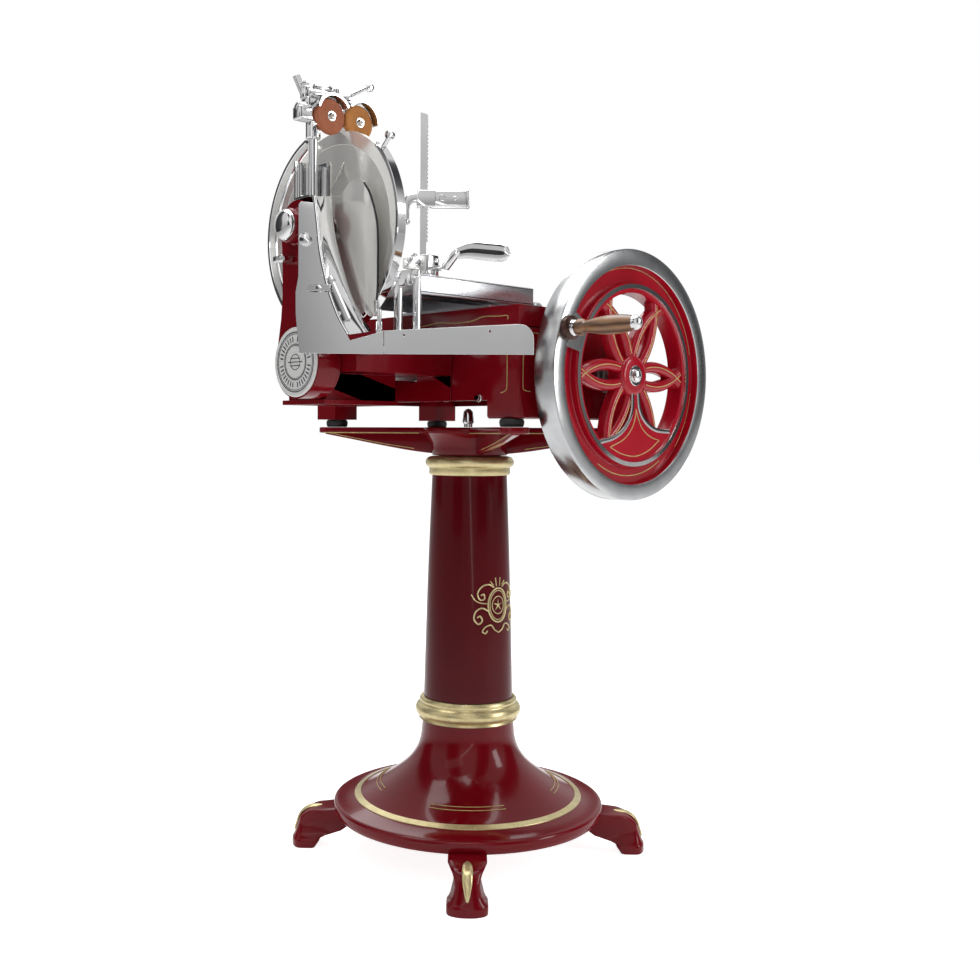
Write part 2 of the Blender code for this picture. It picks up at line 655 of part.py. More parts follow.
def blade():
    edge = BLADE_RADIUS
    face = [(0.020, 0.0035), (0.060, 0.0030), (0.120, 0.0010), (edge - 0.008, 0.0016), (edge, -0.0012),
        (edge, -0.0016)]
    face += [(edge - 0.006, -0.0024), (0.110, -0.0012), (0.020, -0.0012)]
    turned("blade", face, chrome, (BLADE_X, 0, BLADE_Z), ALONG_X, 48, ring=True)
    start = -0.4275
    hub = [(0.0, -0.318 - start), (0.012, -0.318 - start), (0.024, -0.322 - start),
        (0.026, BLADE_X + 0.0038 - start)]
    hub += [(0.0197, BLADE_X + 0.0038 - start), (0.0197, BLADE_X - 0.0012 - GAP - start),
        (0.022, BLADE_X - 0.0015 - start)]
    hub += [(0.022, BLADE_X - 0.012 - start), (0.0100, BLADE_X - 0.014 - start), (0.0100, 0.0), (0.0, 0.0)]
    turned("blade_shaft", hub, steel, (start, 0, BLADE_Z), ALONG_X, FEW_SIDES)
    outline = [toothed(14, SPROCKET_RADIUS, 0.026), arc((0, 0), 0.0100 + GAP, 0, 345, 23)]
    add("blade_sprocket", outline_mesh("blade_sprocket", outline, 0.006), steel, (CHAIN_X, 0, BLADE_Z),
        FACE_X)


def ring_guard():
    """The hoop round the blade's edge, open at the top where the sharpener reaches the edge."""
    inner = BLADE_RADIUS + 0.003
    start, end = 137, 428
    hoop = arc((0, 0), GUARD_RADIUS, start, end, 60) + arc((0, 0), inner, end, start, 60)
    centre = (BLADE_X - 0.004, 0, BLADE_Z)
    guard = add("ring_guard", outline_mesh("ring_guard", [hoop], 0.018), chrome, centre, FACE_X)
    lug = [(-0.127, 0.1245), (-0.141, 0.111), (-0.153, 0.102), (-0.160, 0.105), (-0.168, 0.118),
        (-0.178, 0.126)]
    lug += [(-0.184, 0.121), (-0.177, 0.104), (-0.162, 0.088), (-0.150, 0.0945), (-0.128, 0.1215)]
    centre = (BLADE_X - 0.002, 0, BLADE_Z)
    join(guard, add("guard_lug_cutter", outline_mesh("guard_lug", [lug], 0.006), None, centre, FACE_X))


def guard_bracket():
    shape = [(-0.205, 0.957), (-0.150, 0.957), (-0.146, 0.985), (-0.158, 1.010), (-0.163, 1.040),
        (-0.171, 1.048)]
    shape += [(-0.185, 1.074), (-0.196, 1.070), (-0.190, 1.035), (-0.196, 1.005)]
    plate = outline_mesh("guard_bracket", [shape], 0.010)
    add("guard_bracket", plate, chrome, (BLADE_X + 0.012, 0, 0), FACE_X)


# Slice guard and tray

SHEET_CORNER = Vector((-0.372, -0.175, 0))
GUARD_DIRECTION = math.atan2(-0.770, 0.637)
TRAY_DIRECTION = math.atan2(-0.957, 0.289)
SHEET_THICKNESS = 0.002


def standing(name, outlines, thickness, corner, direction, material):
    """A plate that stands on its edge: x of its outline runs level along direction, y runs up."""
    plate = add(name, outline_mesh(name, outlines, thickness), material)
    return place(plate, corner, (math.pi / 2, 0, direction))


def slice_sheets():
    guard = [(-0.0006, 0.972), (-0.020, 0.966), (-0.055, 0.957), (-0.076, 0.998), (-0.0925, 1.045),
        (-0.1045, 1.100)]
    guard += [(-0.1130, 1.176), (-0.132, 1.178), *arc((-0.1325, 1.172), 0.0065, 90, 180, 4),
        (-0.1395, 1.060), (-0.1440, 1.035)]
    guard += [(-0.1440, 1.000), (-0.1380, 0.937), (-0.0006, 0.935)]
    standing("slice_guard", [guard], SHEET_THICKNESS, SHEET_CORNER, GUARD_DIRECTION, chrome)
    length, radius = 0.262, 0.024
    tray = [(0.0006, 0.935), (length, 0.926), *arc((length - radius, 0.972 - radius), radius, 0, 90, 8),
        (0.0006, 0.972)]
    holes = [arc((0.0374, 0.9635), 0.0022, 0, 315, 7), arc((0.1892, 0.9635), 0.0022, 0, 315, 7)]
    standing("slice_tray", [tray, *holes], SHEET_THICKNESS, SHEET_CORNER, TRAY_DIRECTION, chrome)
    box("tray_bracket", (SHELF_LEFT + 0.004, -0.160, 0.938), (SHELF_LEFT + 0.024, SHELF_FRONT - GAP, 0.950),
        steel)


def wing_nut():
    """The wing nut that holds the guard, on the side the slices fall to."""
    turn = (math.pi / 2, 0, GUARD_DIRECTION)
    seat = SHEET_CORNER + Vector((-0.637, 0.770, 0)) * 0.104 + Vector((0, 0, 1.040))
    seat += Vector((-0.770, -0.637, 0)) * (SHEET_THICKNESS / 2 + GAP)
    nut = turned("wing_nut", [(0.0, 0.012), (0.0045, 0.0115), (0.0060, 0.0), (0.0, 0.0)], chrome, seat,
        turn, 12)
    wing = add("nut_wing_cutter", box_mesh("nut_wing", (0.038, 0.010, 0.0032)))
    place(wing, seat + Vector((-0.770, -0.637, 0)) * 0.009, turn)
    join(nut, wing)


def slice_deflector():
    """The leaf-shaped mirror that turns each slice away from the blade, on its upright pin."""
    leaf = [(-0.0827, 1.2299), (-0.052, 1.216), (-0.0285, 1.1939), (-0.030, 1.170), (-0.0381, 1.1503),
        (-0.0540, 1.115)]
    leaf += [(-0.0701, 1.0803), (-0.088, 1.045), (-0.1041, 1.0115), (-0.118, 1.000), (-0.133, 1.012),
        (-0.1375, 1.0412)]
    leaf += [(-0.1385, 1.080), (-0.1385, 1.1214), (-0.1350, 1.155), (-0.120, 1.194), (-0.103, 1.220)]
    add("slice_deflector", outline_mesh("slice_deflector", [leaf], 0.002), chrome, (-0.354, 0, 0), FACE_X)
    rod("deflector_pin", 0.0035, (-0.354, -0.1425, 0.9555), (-0.354, -0.1425, 1.125), steel, 12)


# Carriage, meat table and press


def carriage():
    for number, x in enumerate(ROD_X, start=1):
        rod(f"slide_rod_{number}", ROD_RADIUS, (x, BODY_FRONT + 0.005, ROD_Z),
            (x, BODY_BACK - 0.005, ROD_Z), steel)
    plate = box("carriage_plate", (-0.125, TABLE_FRONT + 0.010, 1.0260), (0.100, TABLE_BACK, 1.0340),
        aluminium)
    for number, x in enumerate(ROD_X, start=1):
        low = (x - 0.014, TABLE_FRONT + 0.020, 0.9960)
        join(plate, box(f"shoe_{number}_cutter", low, (x + 0.014, TABLE_BACK - 0.010, 1.0280)))
    screw = (SCREW_END - 0.010, SCREW_Y - 0.012, 1.0300)
    join(plate, box("screw_block_cutter", screw, (SCREW_END, SCREW_Y + 0.012, SCREW_Z + 0.012)))
    for number, x in enumerate(ROD_X, start=1):
        start = (x, TABLE_FRONT - 0.020, ROD_Z)
        cut(plate, rod(f"shoe_bore_{number}_cutter", ROD_RADIUS + GAP, start,
            (x, TABLE_BACK + 0.020, ROD_Z)))
    bore = ((SCREW_END - 0.020, SCREW_Y, SCREW_Z), (SCREW_END + 0.010, SCREW_Y, SCREW_Z))
    cut(plate, rod("screw_bore_cutter", 0.0055, *bore))


def meat_table():
    table = box("meat_table", (TABLE_LEFT, TABLE_FRONT, TABLE_BOTTOM), (TABLE_RIGHT, TABLE_BACK, TABLE_TOP),
        aluminium, 0.002)
    hollow = box(
        "table_hollow_cutter",
        (TABLE_LEFT + 0.004, TABLE_FRONT + 0.004, 1.00), (TABLE_RIGHT - 0.004, TABLE_BACK - 0.004,
            TABLE_TOP - 0.005),
    )
    bore = rod("table_bore_cutter", 0.0055, (TABLE_RIGHT - 0.010, SCREW_Y, SCREW_Z),
        (TABLE_RIGHT + 0.010, SCREW_Y, SCREW_Z))
    cut(table, hollow, bore)


def feed_screw():
    """The screw that moves the table towards the blade, with its hand knob on the right."""
    length = SCREW_END - SCREW_START
    screw = [(0.0, length + 0.026), (0.012, length + 0.025), (0.0145, length + 0.020),
        (0.0145, length + 0.006)]
    screw += [(0.012, length + GAP), (0.005, length + GAP), (0.005, 0.0), (0.0, 0.0)]
    turned("feed_screw", screw, steel, (SCREW_START, SCREW_Y, SCREW_Z), ALONG_X, 16)


def rack_post():
    """The toothed post that the meat press climbs, and the clamp that holds it to the table."""
    width, depth = 0.0135, 0.007
    pitch = 0.0065
    teeth = int((POST_TOP - 0.020 - 1.130) / pitch)
    outline = [(-width / 2, 1.083), (width / 2 - 0.003, 1.083)]
    for i in range(teeth):
        z = 1.130 + i * pitch
        outline += [(width / 2 - 0.003, z), (width / 2, z + pitch * 0.25), (width / 2, z + pitch * 0.65)]
    outline += [(width / 2 - 0.001, POST_TOP - 0.004), (-width / 2, POST_TOP)]
    add("rack_post", outline_mesh("rack_post", [outline], depth), chrome, (POST_X, POST_Y, 0),
        (math.pi / 2, 0, math.radians(-42)))
    clamp = box("post_clamp", (POST_X - 0.014, POST_Y - 0.022, TABLE_TOP + GAP),
        (POST_X + 0.016, POST_Y + 0.040, 1.108), chrome, 0.004)
    slot = box("post_slot_cutter", (-0.0105, -0.0062, -0.05), (0.0105, 0.0062, 0.06))
    place(slot, (POST_X, POST_Y, 1.10), (0, 0, math.radians(-42)))
    cut(clamp, slot)


def press():
    """The press arm: a socket round the post, a handle to the right and a toe that bends down."""
    arm = box("press_arm", (-0.016, -0.0085, -0.0145), (0.076, 0.0085, 0.0145), chrome, 0.004)
    place(arm, (POST_X, POST_Y, PRESS_Z), (0, 0, math.radians(-42)))
    toe = box("press_toe_cutter", (-0.034, -0.0075, -0.042), (-0.012, 0.0075, 0.010))
    place(toe, (POST_X, POST_Y, PRESS_Z), (0, 0, math.radians(-42)))
    slot = box("press_slot_cutter", (-0.0075, -0.0042, -0.05), (0.0075, 0.0042, 0.05))
    place(slot, (POST_X, POST_Y, PRESS_Z), (0, 0, math.radians(-42)))
    cut(join(arm, toe), slot)


def clamp_lever():
    start = Vector((POST_X + 0.004, POST_Y - 0.022 - GAP, 1.084))
    steps = [(0, 0, 0), (0, -0.024, 0), (0.003, -0.036, 0.009), (0.008, -0.046, 0.022),
        (0.020, -0.066, 0.025)]
    steps += [(0.034, -0.096, 0.021), (0.048, -0.128, 0.016)]
    points = [start + Vector(step) for step in steps]
    tube("clamp_lever", points, 0.0055, chrome, 1)


# Sharpener


def sharpener_mount():
    low = (-0.4140, -0.034, ARM_TOP + GAP)
    plate = box("sharpener_bracket", low, (-0.3660, 0.008, ARM_TOP + 0.004), chrome)
    back = box("bracket_back_cutter", (-0.4135, 0.004, ARM_TOP + 0.001), (-0.3665, 0.0075, 1.262))
    side = box("bracket_side_cutter", (-0.3700, -0.0335, ARM_TOP + 0.001), (-0.3663, 0.0070, 1.2615))
    join(plate, back, side)
    start = (POST_AXIS_X, POST_AXIS_Y, ARM_TOP + 0.004 + GAP)
    rod("sharpener_post", 0.0078, start, (POST_AXIS_X, POST_AXIS_Y, 1.330), chrome)


def sharpening_stones():
    for name, x in (("left", STONE_LEFT_X), ("right", STONE_RIGHT_X)):
        r = STONE_RADIUS
        wheel = [(r - 0.001, 0.0), (r, -0.001), (r, -0.009), (r - 0.001, -0.010), (0.0040, -0.010),
            (0.0040, 0.0)]
        turned(f"stone_{name}", wheel, stone, (x, STONE_Y - 0.005, STONE_Z), FACE_Y, 32, ring=True)
        spindle = [(0.0, 0.005), (0.0075, 0.005), (0.0075, 0.0003), (0.0037, 0.0003), (0.0037, -0.0103)]
        spindle += [(0.0065, -0.0103), (0.0065, -0.030), (0.0, -0.030)]
        turned(f"spindle_{name}", spindle, chrome, (x, STONE_Y - 0.005, STONE_Z), FACE_Y, 16)


def sharpener_body():
    """The head that carries both stones under their hoods. It slides on the post."""
    low = (-0.425, STONE_Y + 0.010, STONE_Z - 0.012)
    body = box("sharpener_body", low, (-0.283, STONE_Y + 0.034, STONE_Z + 0.012), chrome)
    low = (-0.434, STONE_Y + 0.008, STONE_Z + 0.008)
    link = box("sharpener_link_cutter", low, (-0.330, STONE_Y + 0.032, STONE_Z + 0.026))
    low = (POST_AXIS_X - 0.0130, STONE_Y + 0.0056, 1.300)
    barrel = box("sharpener_barrel_cutter", low, (POST_AXIS_X + 0.0130, 0.0015, STONE_Z + 0.011))
    join(body, link, barrel)
    for name, x, start, end in (("left", STONE_LEFT_X, 30, 165), ("right", STONE_RIGHT_X, 0, 140)):
        band = arc((0, 0), 0.0350, start, end, 10) + arc((0, 0), 0.0325, end, start, 10)
        hood = outline_mesh(f"hood_{name}", [band], 0.030)
        join(body, add(f"hood_{name}_cutter", hood, None, (x, STONE_Y, STONE_Z), FACE_Y))
    for name, x in (("left", STONE_LEFT_X), ("right", STONE_RIGHT_X)):
        bore = ((x, STONE_Y - 0.020, STONE_Z), (x, STONE_Y + 0.060, STONE_Z))
        cut(body, rod(f"spindle_bore_{name}_cutter", 0.0068, *bore))
    bore = ((POST_AXIS_X, POST_AXIS_Y, 1.280), (POST_AXIS_X, POST_AXIS_Y, 1.338))
    cut(body, rod("post_bore_cutter", 0.0081, *bore))
    end = (-0.285, STONE_Y - 0.005, 1.402)
    rod("sharpener_lever", 0.0035, (-0.345, STONE_Y + 0.020, STONE_Z + 0.0305), end, chrome, 12)


pedestal_base()
pedestal_column()
stand_head()
rubber_pads()
head_bolt()
base_casting()
gear_housing()
carriage_track()
flywheel()
handle()
bevel_gears()
cross_shaft()
drive_chain()
blade_arm()
blade()
ring_guard()
guard_bracket()
slice_sheets()
wing_nut()
slice_deflector()
carriage()
meat_table()
feed_screw()
rack_post()
press()
clamp_lever()
sharpener_mount()
sharpening_stones()
sharpener_body()
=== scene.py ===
import math

import bmesh
import bpy
from mathutils import Matrix, Vector


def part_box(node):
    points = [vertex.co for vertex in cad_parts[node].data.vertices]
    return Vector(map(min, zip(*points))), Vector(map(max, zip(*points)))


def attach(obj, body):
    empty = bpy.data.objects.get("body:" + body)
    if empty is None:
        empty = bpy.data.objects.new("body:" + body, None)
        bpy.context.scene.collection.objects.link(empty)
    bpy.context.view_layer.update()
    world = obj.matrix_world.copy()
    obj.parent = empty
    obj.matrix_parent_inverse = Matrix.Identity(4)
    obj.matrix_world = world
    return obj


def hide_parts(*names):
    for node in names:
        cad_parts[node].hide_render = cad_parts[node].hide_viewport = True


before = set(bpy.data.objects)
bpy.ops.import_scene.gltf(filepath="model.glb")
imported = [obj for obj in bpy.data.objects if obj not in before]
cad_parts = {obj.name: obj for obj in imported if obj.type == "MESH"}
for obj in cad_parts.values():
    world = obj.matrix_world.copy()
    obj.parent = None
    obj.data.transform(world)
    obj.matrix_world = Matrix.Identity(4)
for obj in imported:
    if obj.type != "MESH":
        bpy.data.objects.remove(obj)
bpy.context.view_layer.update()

# Every place below is measured from the pedestal's axis, which stands at AXIS in the frame.
column_low, column_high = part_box("column")
AXIS = Vector(((column_low.x + column_high.x) / 2, (column_low.y + column_high.y) / 2, 0))

R = 0.2212  # the flywheel's radius
WHEEL = Vector((0.084, -0.328, 0.912))
HANDLE = Vector((-0.1, -0.328, 0.984))
SHAFT_Z = 1.1534  # the height of the blade's shaft
BLADE = Vector((-0.334, 0.0, SHAFT_Z))
ARM_FACE = -0.4148  # the x of the arm's outer face
STONE_LEFT = Vector((-0.368, -0.035, 1.337))
STONE_RIGHT = Vector((-0.3065, -0.035, 1.337))
CORNER = Vector((-0.372, -0.175, 0))  # where the slice guard bends
ALONG = Vector((-0.637, 0.77, 0))  # along the slice guard's slanted face
OUTWARD = Vector((-0.77, -0.637, 0))  # away from that face
HINGE_Y = -0.1425  # the deflector's pin
CORNERS = (45, 135, 225, 315)  # the directions of the pedestal's feet, in degrees

TO_X = Matrix.Rotation(math.pi / 2, 4, "Y")  # local z becomes +X
TO_LEFT = Matrix.Rotation(-math.pi / 2, 4, "Y")  # local z becomes -X, local x becomes +Z
TO_FRONT = Matrix.Rotation(math.pi / 2, 4, "X")  # local z becomes -Y, local y becomes +Z
FACE_X = Matrix(((0, 0, 1, 0), (1, 0, 0, 0), (0, 1, 0, 0), (0, 0, 0, 1)))  # x to Y, y to Z, z to X


# Camera and lights

scene = bpy.context.scene
camera = bpy.data.objects.new("camera", bpy.data.cameras.new("camera"))
scene.collection.objects.link(camera)
right, up, back = (0.73739, -0.67545, 0.00465), (0.03103, 0.04076, 0.99869), (-0.67475, -0.73628, 0.05101)
camera.matrix_world = (Matrix.Translation(AXIS + Vector((-1.5779, -1.5659, 0.8121)))
                       @ Matrix((right, up, back)).transposed().to_4x4())
camera.data.lens = 42.18
camera.data.sensor_width = 36
camera.data.shift_x = 0.0765
camera.data.dof.use_dof = False
scene.camera = camera
scene.view_settings.view_transform = "Standard"
scene.view_settings.look = "None"

for name, place, aim, size, power in (
    ("key", (-2.6, -0.6, 2.3), 0.8, (1.1, 2.0), 4), ("fill", (1.4, -2.9, 1.7), 0.8, (0.7, 2.0), 30),
    ("strip", (-2.5, -2.35, 1.0), 0.6, (0.16, 2.4), 3), ("overhead", (0.0, 0.3, 3.4), 0.9, (2.6, 2.6), 90),
    ("back", (1.6, 2.2, 2.2), 0.9, (1.6, 1.6), 20),
):
    data = bpy.data.lights.new(name, "AREA")
    data.shape = "RECTANGLE"
    data.size, data.size_y = size
    data.energy = power
    light = bpy.data.objects.new(name, data)
    scene.collection.objects.link(light)
    light.location = AXIS + Vector(place)
    light.rotation_euler = (Vector((0, 0, aim)) - Vector(place)).to_track_quat("-Z", "Z").to_euler()


# Shader nodes


def add(tree, kind, inputs=(), **settings):
    """A new shader node with its settings and the values of its inputs."""
    made = tree.nodes.new("ShaderNode" + kind)
    for key, value in settings.items():
        setattr(made, key, value)
    for key, value in dict(inputs).items():
        made.inputs[key].default_value = value
    return made


def compute(tree, operation, *operands):
    """A math node on operands that are sockets or plain numbers."""
    made = add(tree, "Math", operation=operation)
    for socket, operand in zip(made.inputs, operands):
        if isinstance(operand, (int, float)):
            socket.default_value = operand
        else:
            tree.links.new(operand, socket)
    return made.outputs[0]


def colour_ramp(tree, factor, *stops):
    """A ramp through stops of (position, colour), read at factor."""
    made = add(tree, "ValToRGB")
    elements = made.color_ramp.elements
    elements[0].position, elements[0].color = stops[0][0], (*stops[0][1], 1)
    elements[1].position, elements[1].color = stops[-1][0], (*stops[-1][1], 1)
    for place, colour in stops[1:-1]:
        elements.new(place).color = (*colour, 1)
    tree.links.new(factor, made.inputs["Fac"])
    return made.outputs[0]


def mixed(tree, kind, factor, first, second, **settings):
    """A mix of two sockets or colours, by a socket or a number."""
    made = add(tree, kind, **settings)
    for socket, value in zip(made.inputs, (factor, first, second)):
        if isinstance(value, (float, tuple)):
            socket.default_value = value
        else:
            tree.links.new(value, socket)
    return made.outputs[0]


def studio_world():
    """White to the camera and even on dull surfaces. To the metals it is a bright room with a few dark gaps."""
    world = bpy.data.worlds.new("studio")
    scene.world = world
    world.use_nodes = True
    tree = world.node_tree
    tree.nodes.clear()
    direction = add(tree, "SeparateXYZ")
    tree.links.new(add(tree, "TexCoord").outputs["Generated"], direction.inputs[0])
    x, y, z = direction.outputs
    greys = ((0.0, 0.62), (0.4, 0.66), (0.49, 0.5), (0.54, 0.62), (0.64, 0.95), (0.86, 1.0), (1.0, 1.0))
    height = colour_ramp(tree, compute(tree, "MULTIPLY_ADD", z, 0.5, 0.5),
        *((place, (grey,) * 3) for place, grey in greys))
    wave = compute(tree, "SINE", compute(tree, "MULTIPLY_ADD", compute(tree, "ARCTAN2", y, x), 5.0, 0.7))
    screens = colour_ramp(tree, compute(tree, "MULTIPLY_ADD", wave, 0.5, 0.5),
                          (0.0, (0.07, 0.07, 0.075)), (0.24, (0.16, 0.16, 0.165)), (0.52, (1, 1, 1)))
    room = add(tree, "Background", {"Strength": 0.78})
    tree.links.new(mixed(tree, "MixRGB", 1.0, height, screens, blend_type="MULTIPLY"), room.inputs["Color"])
    white, even = (
        add(tree, "Background", {"Color": (1, 1, 1, 1), "Strength": strength}) for strength in (1.0, 0.27)
    )
    path = add(tree, "LightPath")
    unseen = mixed(tree, "MixShader", path.outputs["Is Diffuse Ray"], room.outputs[0], even.outputs[0])
    whole = mixed(tree, "MixShader", path.outputs["Is Camera Ray"], unseen, white.outputs[0])
    tree.links.new(whole, add(tree, "OutputWorld").inputs["Surface"])


studio_world()


# Materials


def start_material(name, stretch=(1, 1, 1), place=(0, 0, 0), **inputs):
    """A new material: its tree, its shader, and object coordinates stretched and moved."""
    made = bpy.data.materials.new(name)
    made.use_nodes = True
    tree = made.node_tree
    shader = tree.nodes["Principled BSDF"]
    for key, value in inputs.items():
        shader.inputs[key.replace("_", " ")].default_value = value
    mapping = add(tree, "Mapping", {"Scale": stretch, "Location": place})
    tree.links.new(add(tree, "TexCoord").outputs["Object"], mapping.inputs["Vector"])
    return made, tree, shader, mapping.outputs[0]


def texture(tree, kind, vector, inputs, **settings):
    made = add(tree, "Tex" + kind, inputs, **settings)
    tree.links.new(vector, made.inputs["Vector"])
    return made.outputs["Fac"]


def relief(tree, shader, height, low, high, strength):
    """Roughness between low and high and a fine bump, both read from height."""
    spread = add(tree, "MapRange", {"To Min": low, "To Max": high})
    dents = add(tree, "Bump", {"Strength": strength, "Distance": 0.001})
    for source, target in ((height, spread.inputs["Value"]), (spread.outputs[0], shader.inputs["Roughness"]),
                           (height, dents.inputs["Height"]), (dents.outputs[0], shader.inputs["Normal"])):
        tree.links.new(source, target)


def material(name, colour, second, roughness, metallic=0.0, coat=0.0, scale=30.0, detail=4.0, bump=0.02,
             bump_scale=200.0, spread=0.05, stretch=(1, 1, 1), edge_wear=0.0, specular=0.5):
    """A material whose colour goes between two shades and whose roughness and bump vary, all with noise."""
    made, tree, shader, vector = start_material(name, stretch, Metallic=metallic, Coat_Weight=coat,
                                                Coat_Roughness=0.04, Specular_IOR_Level=specular)
    noise = texture(tree, "Noise", vector, {"Scale": scale, "Detail": detail})
    final = colour_ramp(tree, noise, (0.35, second), (0.65, colour))
    if edge_wear:
        sharpness = add(tree, "NewGeometry").outputs["Pointiness"]
        edge = colour_ramp(tree, sharpness, (0.52, (0, 0, 0)), (0.6, (1, 1, 1)))
        worn = (*(min(1, c * 1.5 + 0.02) for c in colour), 1)
        final = mixed(tree, "MixRGB", compute(tree, "MULTIPLY", edge, edge_wear), final, worn, blend_type="MIX")
    tree.links.new(final, shader.inputs["Base Color"])
    fine = texture(tree, "Noise", vector, {"Scale": bump_scale, "Detail": 3.0})
    relief(tree, shader, fine, max(0.0, roughness - spread), roughness + spread, bump)
    return made


RED = material("red_enamel", (0.172, 0.0011, 0.0062), (0.15, 0.0009, 0.005), 0.15, coat=0.2, scale=9,
               bump=0.012, bump_scale=120, spread=0.03, edge_wear=0.15, specular=0.17)
# The red enamel darkened for the column: painted shade for the weaker light on its upright sides.
SHADED_RED = material("red_enamel_painted_shade", (0.094, 0.0007, 0.0038), (0.08, 0.0006, 0.0031), 0.14, coat=0.14, scale=9,
                    bump=0.012, bump_scale=120, spread=0.03, edge_wear=0.15, specular=0.12)
WHEEL_RED = material("wheel_enamel", (0.4, 0.004, 0.017), (0.345, 0.003, 0.013), 0.18, coat=0.35, scale=14,
                     bump=0.02, bump_scale=160, spread=0.04, edge_wear=0.15, specular=0.25)
GOLD = material("gold_paint", (0.72, 0.62, 0.34), (0.62, 0.52, 0.27), 0.3, 0.7, scale=60,
                bump=0.08, bump_scale=500, spread=0.08)
LINE = material("gold_lining", (0.62, 0.47, 0.2), (0.5, 0.36, 0.13), 0.42, 0.35, scale=90,
                bump=0.05, bump_scale=600, spread=0.08)
CHROME = material("polished_chrome", (0.76, 0.76, 0.76), (0.69, 0.69, 0.7), 0.055, 1.0, scale=18,
                  bump=0.008, bump_scale=90, spread=0.03)
MIRROR = material("mirror_steel", (0.84, 0.84, 0.845), (0.79, 0.79, 0.8), 0.05, 1.0, scale=7,
                  bump=0.006, bump_scale=60, spread=0.025)
NICKEL = material("nickel_plate", (0.72, 0.7, 0.66), (0.62, 0.6, 0.57), 0.14, 1.0, scale=40,
                  bump=0.05, bump_scale=350, spread=0.06)
STEEL = material("machined_steel", (0.5, 0.5, 0.51), (0.4, 0.4, 0.41), 0.3, 1.0, scale=70,
                 bump=0.08, bump_scale=700, spread=0.1)
SATIN = material("satin_rim", (0.58, 0.585, 0.59), (0.48, 0.49, 0.5), 0.22, 1.0, scale=28,
                 bump=0.06, bump_scale=900, spread=0.08)
ALUMINIUM = material("satin_aluminium", (0.66, 0.67, 0.69), (0.58, 0.59, 0.61), 0.28, 1.0, scale=22,
                     bump=0.07, bump_scale=420, spread=0.08, stretch=(1, 1, 12))
DARK_STEEL = material("blued_steel", (0.075, 0.078, 0.085), (0.045, 0.047, 0.05), 0.24, 0.9, scale=45,
                      bump=0.05, bump_scale=300, spread=0.08)
LEAF = material("leaf_polish", (0.93, 0.92, 0.89), (0.85, 0.84, 0.81), 0.2, 0.6, scale=9, bump_scale=60,
    spread=0.06)
BLACK = material("black_rubber", (0.016, 0.016, 0.017), (0.028, 0.027, 0.027), 0.62, scale=80,
                 bump=0.25, bump_scale=900, spread=0.1)
BROWN = material("boss_bronze", (0.075, 0.034, 0.024), (0.05, 0.022, 0.016), 0.26, 0.5, scale=35,
                 bump=0.05, bump_scale=300, spread=0.06)
STONE_A = material("stone_pink", (0.5, 0.17, 0.085), (0.4, 0.125, 0.06), 0.86, scale=420, detail=6,
                   bump=0.55, bump_scale=1500, spread=0.06)
STONE_B = material("stone_orange", (0.62, 0.255, 0.065), (0.5, 0.19, 0.05), 0.84, scale=420, detail=6,
                   bump=0.55, bump_scale=1500, spread=0.06)
WHITE = material("badge_enamel", (0.74, 0.74, 0.73), (0.7, 0.7, 0.69), 0.3, coat=0.5, bump_scale=250)
INK = material("badge_ink", (0.03, 0.03, 0.034), (0.05, 0.05, 0.055), 0.42, scale=120,
               bump=0.05, bump_scale=500, spread=0.08)


def walnut():
    """Wood with rings that run along the grip."""
    made, tree, shader, vector = start_material("walnut", (26, 5.0, 26), (0.35, 0.0, 0.2),
                                                Coat_Weight=0.45, Coat_Roughness=0.12)
    wobble = texture(tree, "Noise", vector, {"Scale": 1.6, "Detail": 5})
    rings = texture(tree, "Wave", vector, {"Scale": 0.75, "Distortion": 9.0, "Detail": 3.0, "Detail Scale": 1.2},
                    wave_type="RINGS", rings_direction="Y")
    wood = colour_ramp(tree, rings, (0.0, (0.085, 0.036, 0.014)), (0.45, (0.2, 0.095, 0.038)),
        (1.0, (0.34, 0.165, 0.065)))
    tint = colour_ramp(tree, wobble, (0.0, (0.55, 0.5, 0.45)), (1.0, (1, 1, 1)))
    tree.links.new(mixed(tree, "MixRGB", 0.55, wood, tint, blend_type="MULTIPLY"), shader.inputs["Base Color"])
    relief(tree, shader, rings, 0.36, 0.52, 0.1)
    return made


WALNUT = walnut()


# Solids: each is (vertices, faces), in metres


def mm(*points):
    """Points, or rows of lengths, written in millimetres."""
    return [tuple(c / 1000 for c in p) for p in points]


def moved(solid, matrix):
    return [matrix @ Vector(v) for v in solid[0]], solid[1]


def at(solid, place, matrix=Matrix.Identity(4)):
    return moved(solid, Matrix.Translation(Vector(place)) @ matrix)


def merged(*solids):
    verts, faces = [], []
    for v, f in solids:
        base = len(verts)
        verts += [Vector(p) for p in v]
        faces += [tuple(i + base for i in face) for face in f]
    return verts, faces


def from_bmesh(bm):
    bm.verts.index_update()
    solid = [v.co.copy() for v in bm.verts], [tuple(v.index for v in f.verts) for f in bm.faces]
    bm.free()
    return solid


def box(low, high, bevel=0.0015, segments=3):
    low, high = Vector(low), Vector(high)
    bm = bmesh.new()
    bmesh.ops.create_cube(bm, size=1)
    bmesh.ops.scale(bm, vec=high - low, verts=bm.verts)
    bmesh.ops.translate(bm, vec=(low + high) / 2, verts=bm.verts)
    if bevel:
        bevel = min(bevel, min(high - low) * 0.45)
        bmesh.ops.bevel(bm, geom=bm.edges, offset=bevel, segments=segments, affect="EDGES", profile=0.5)
    return from_bmesh(bm)


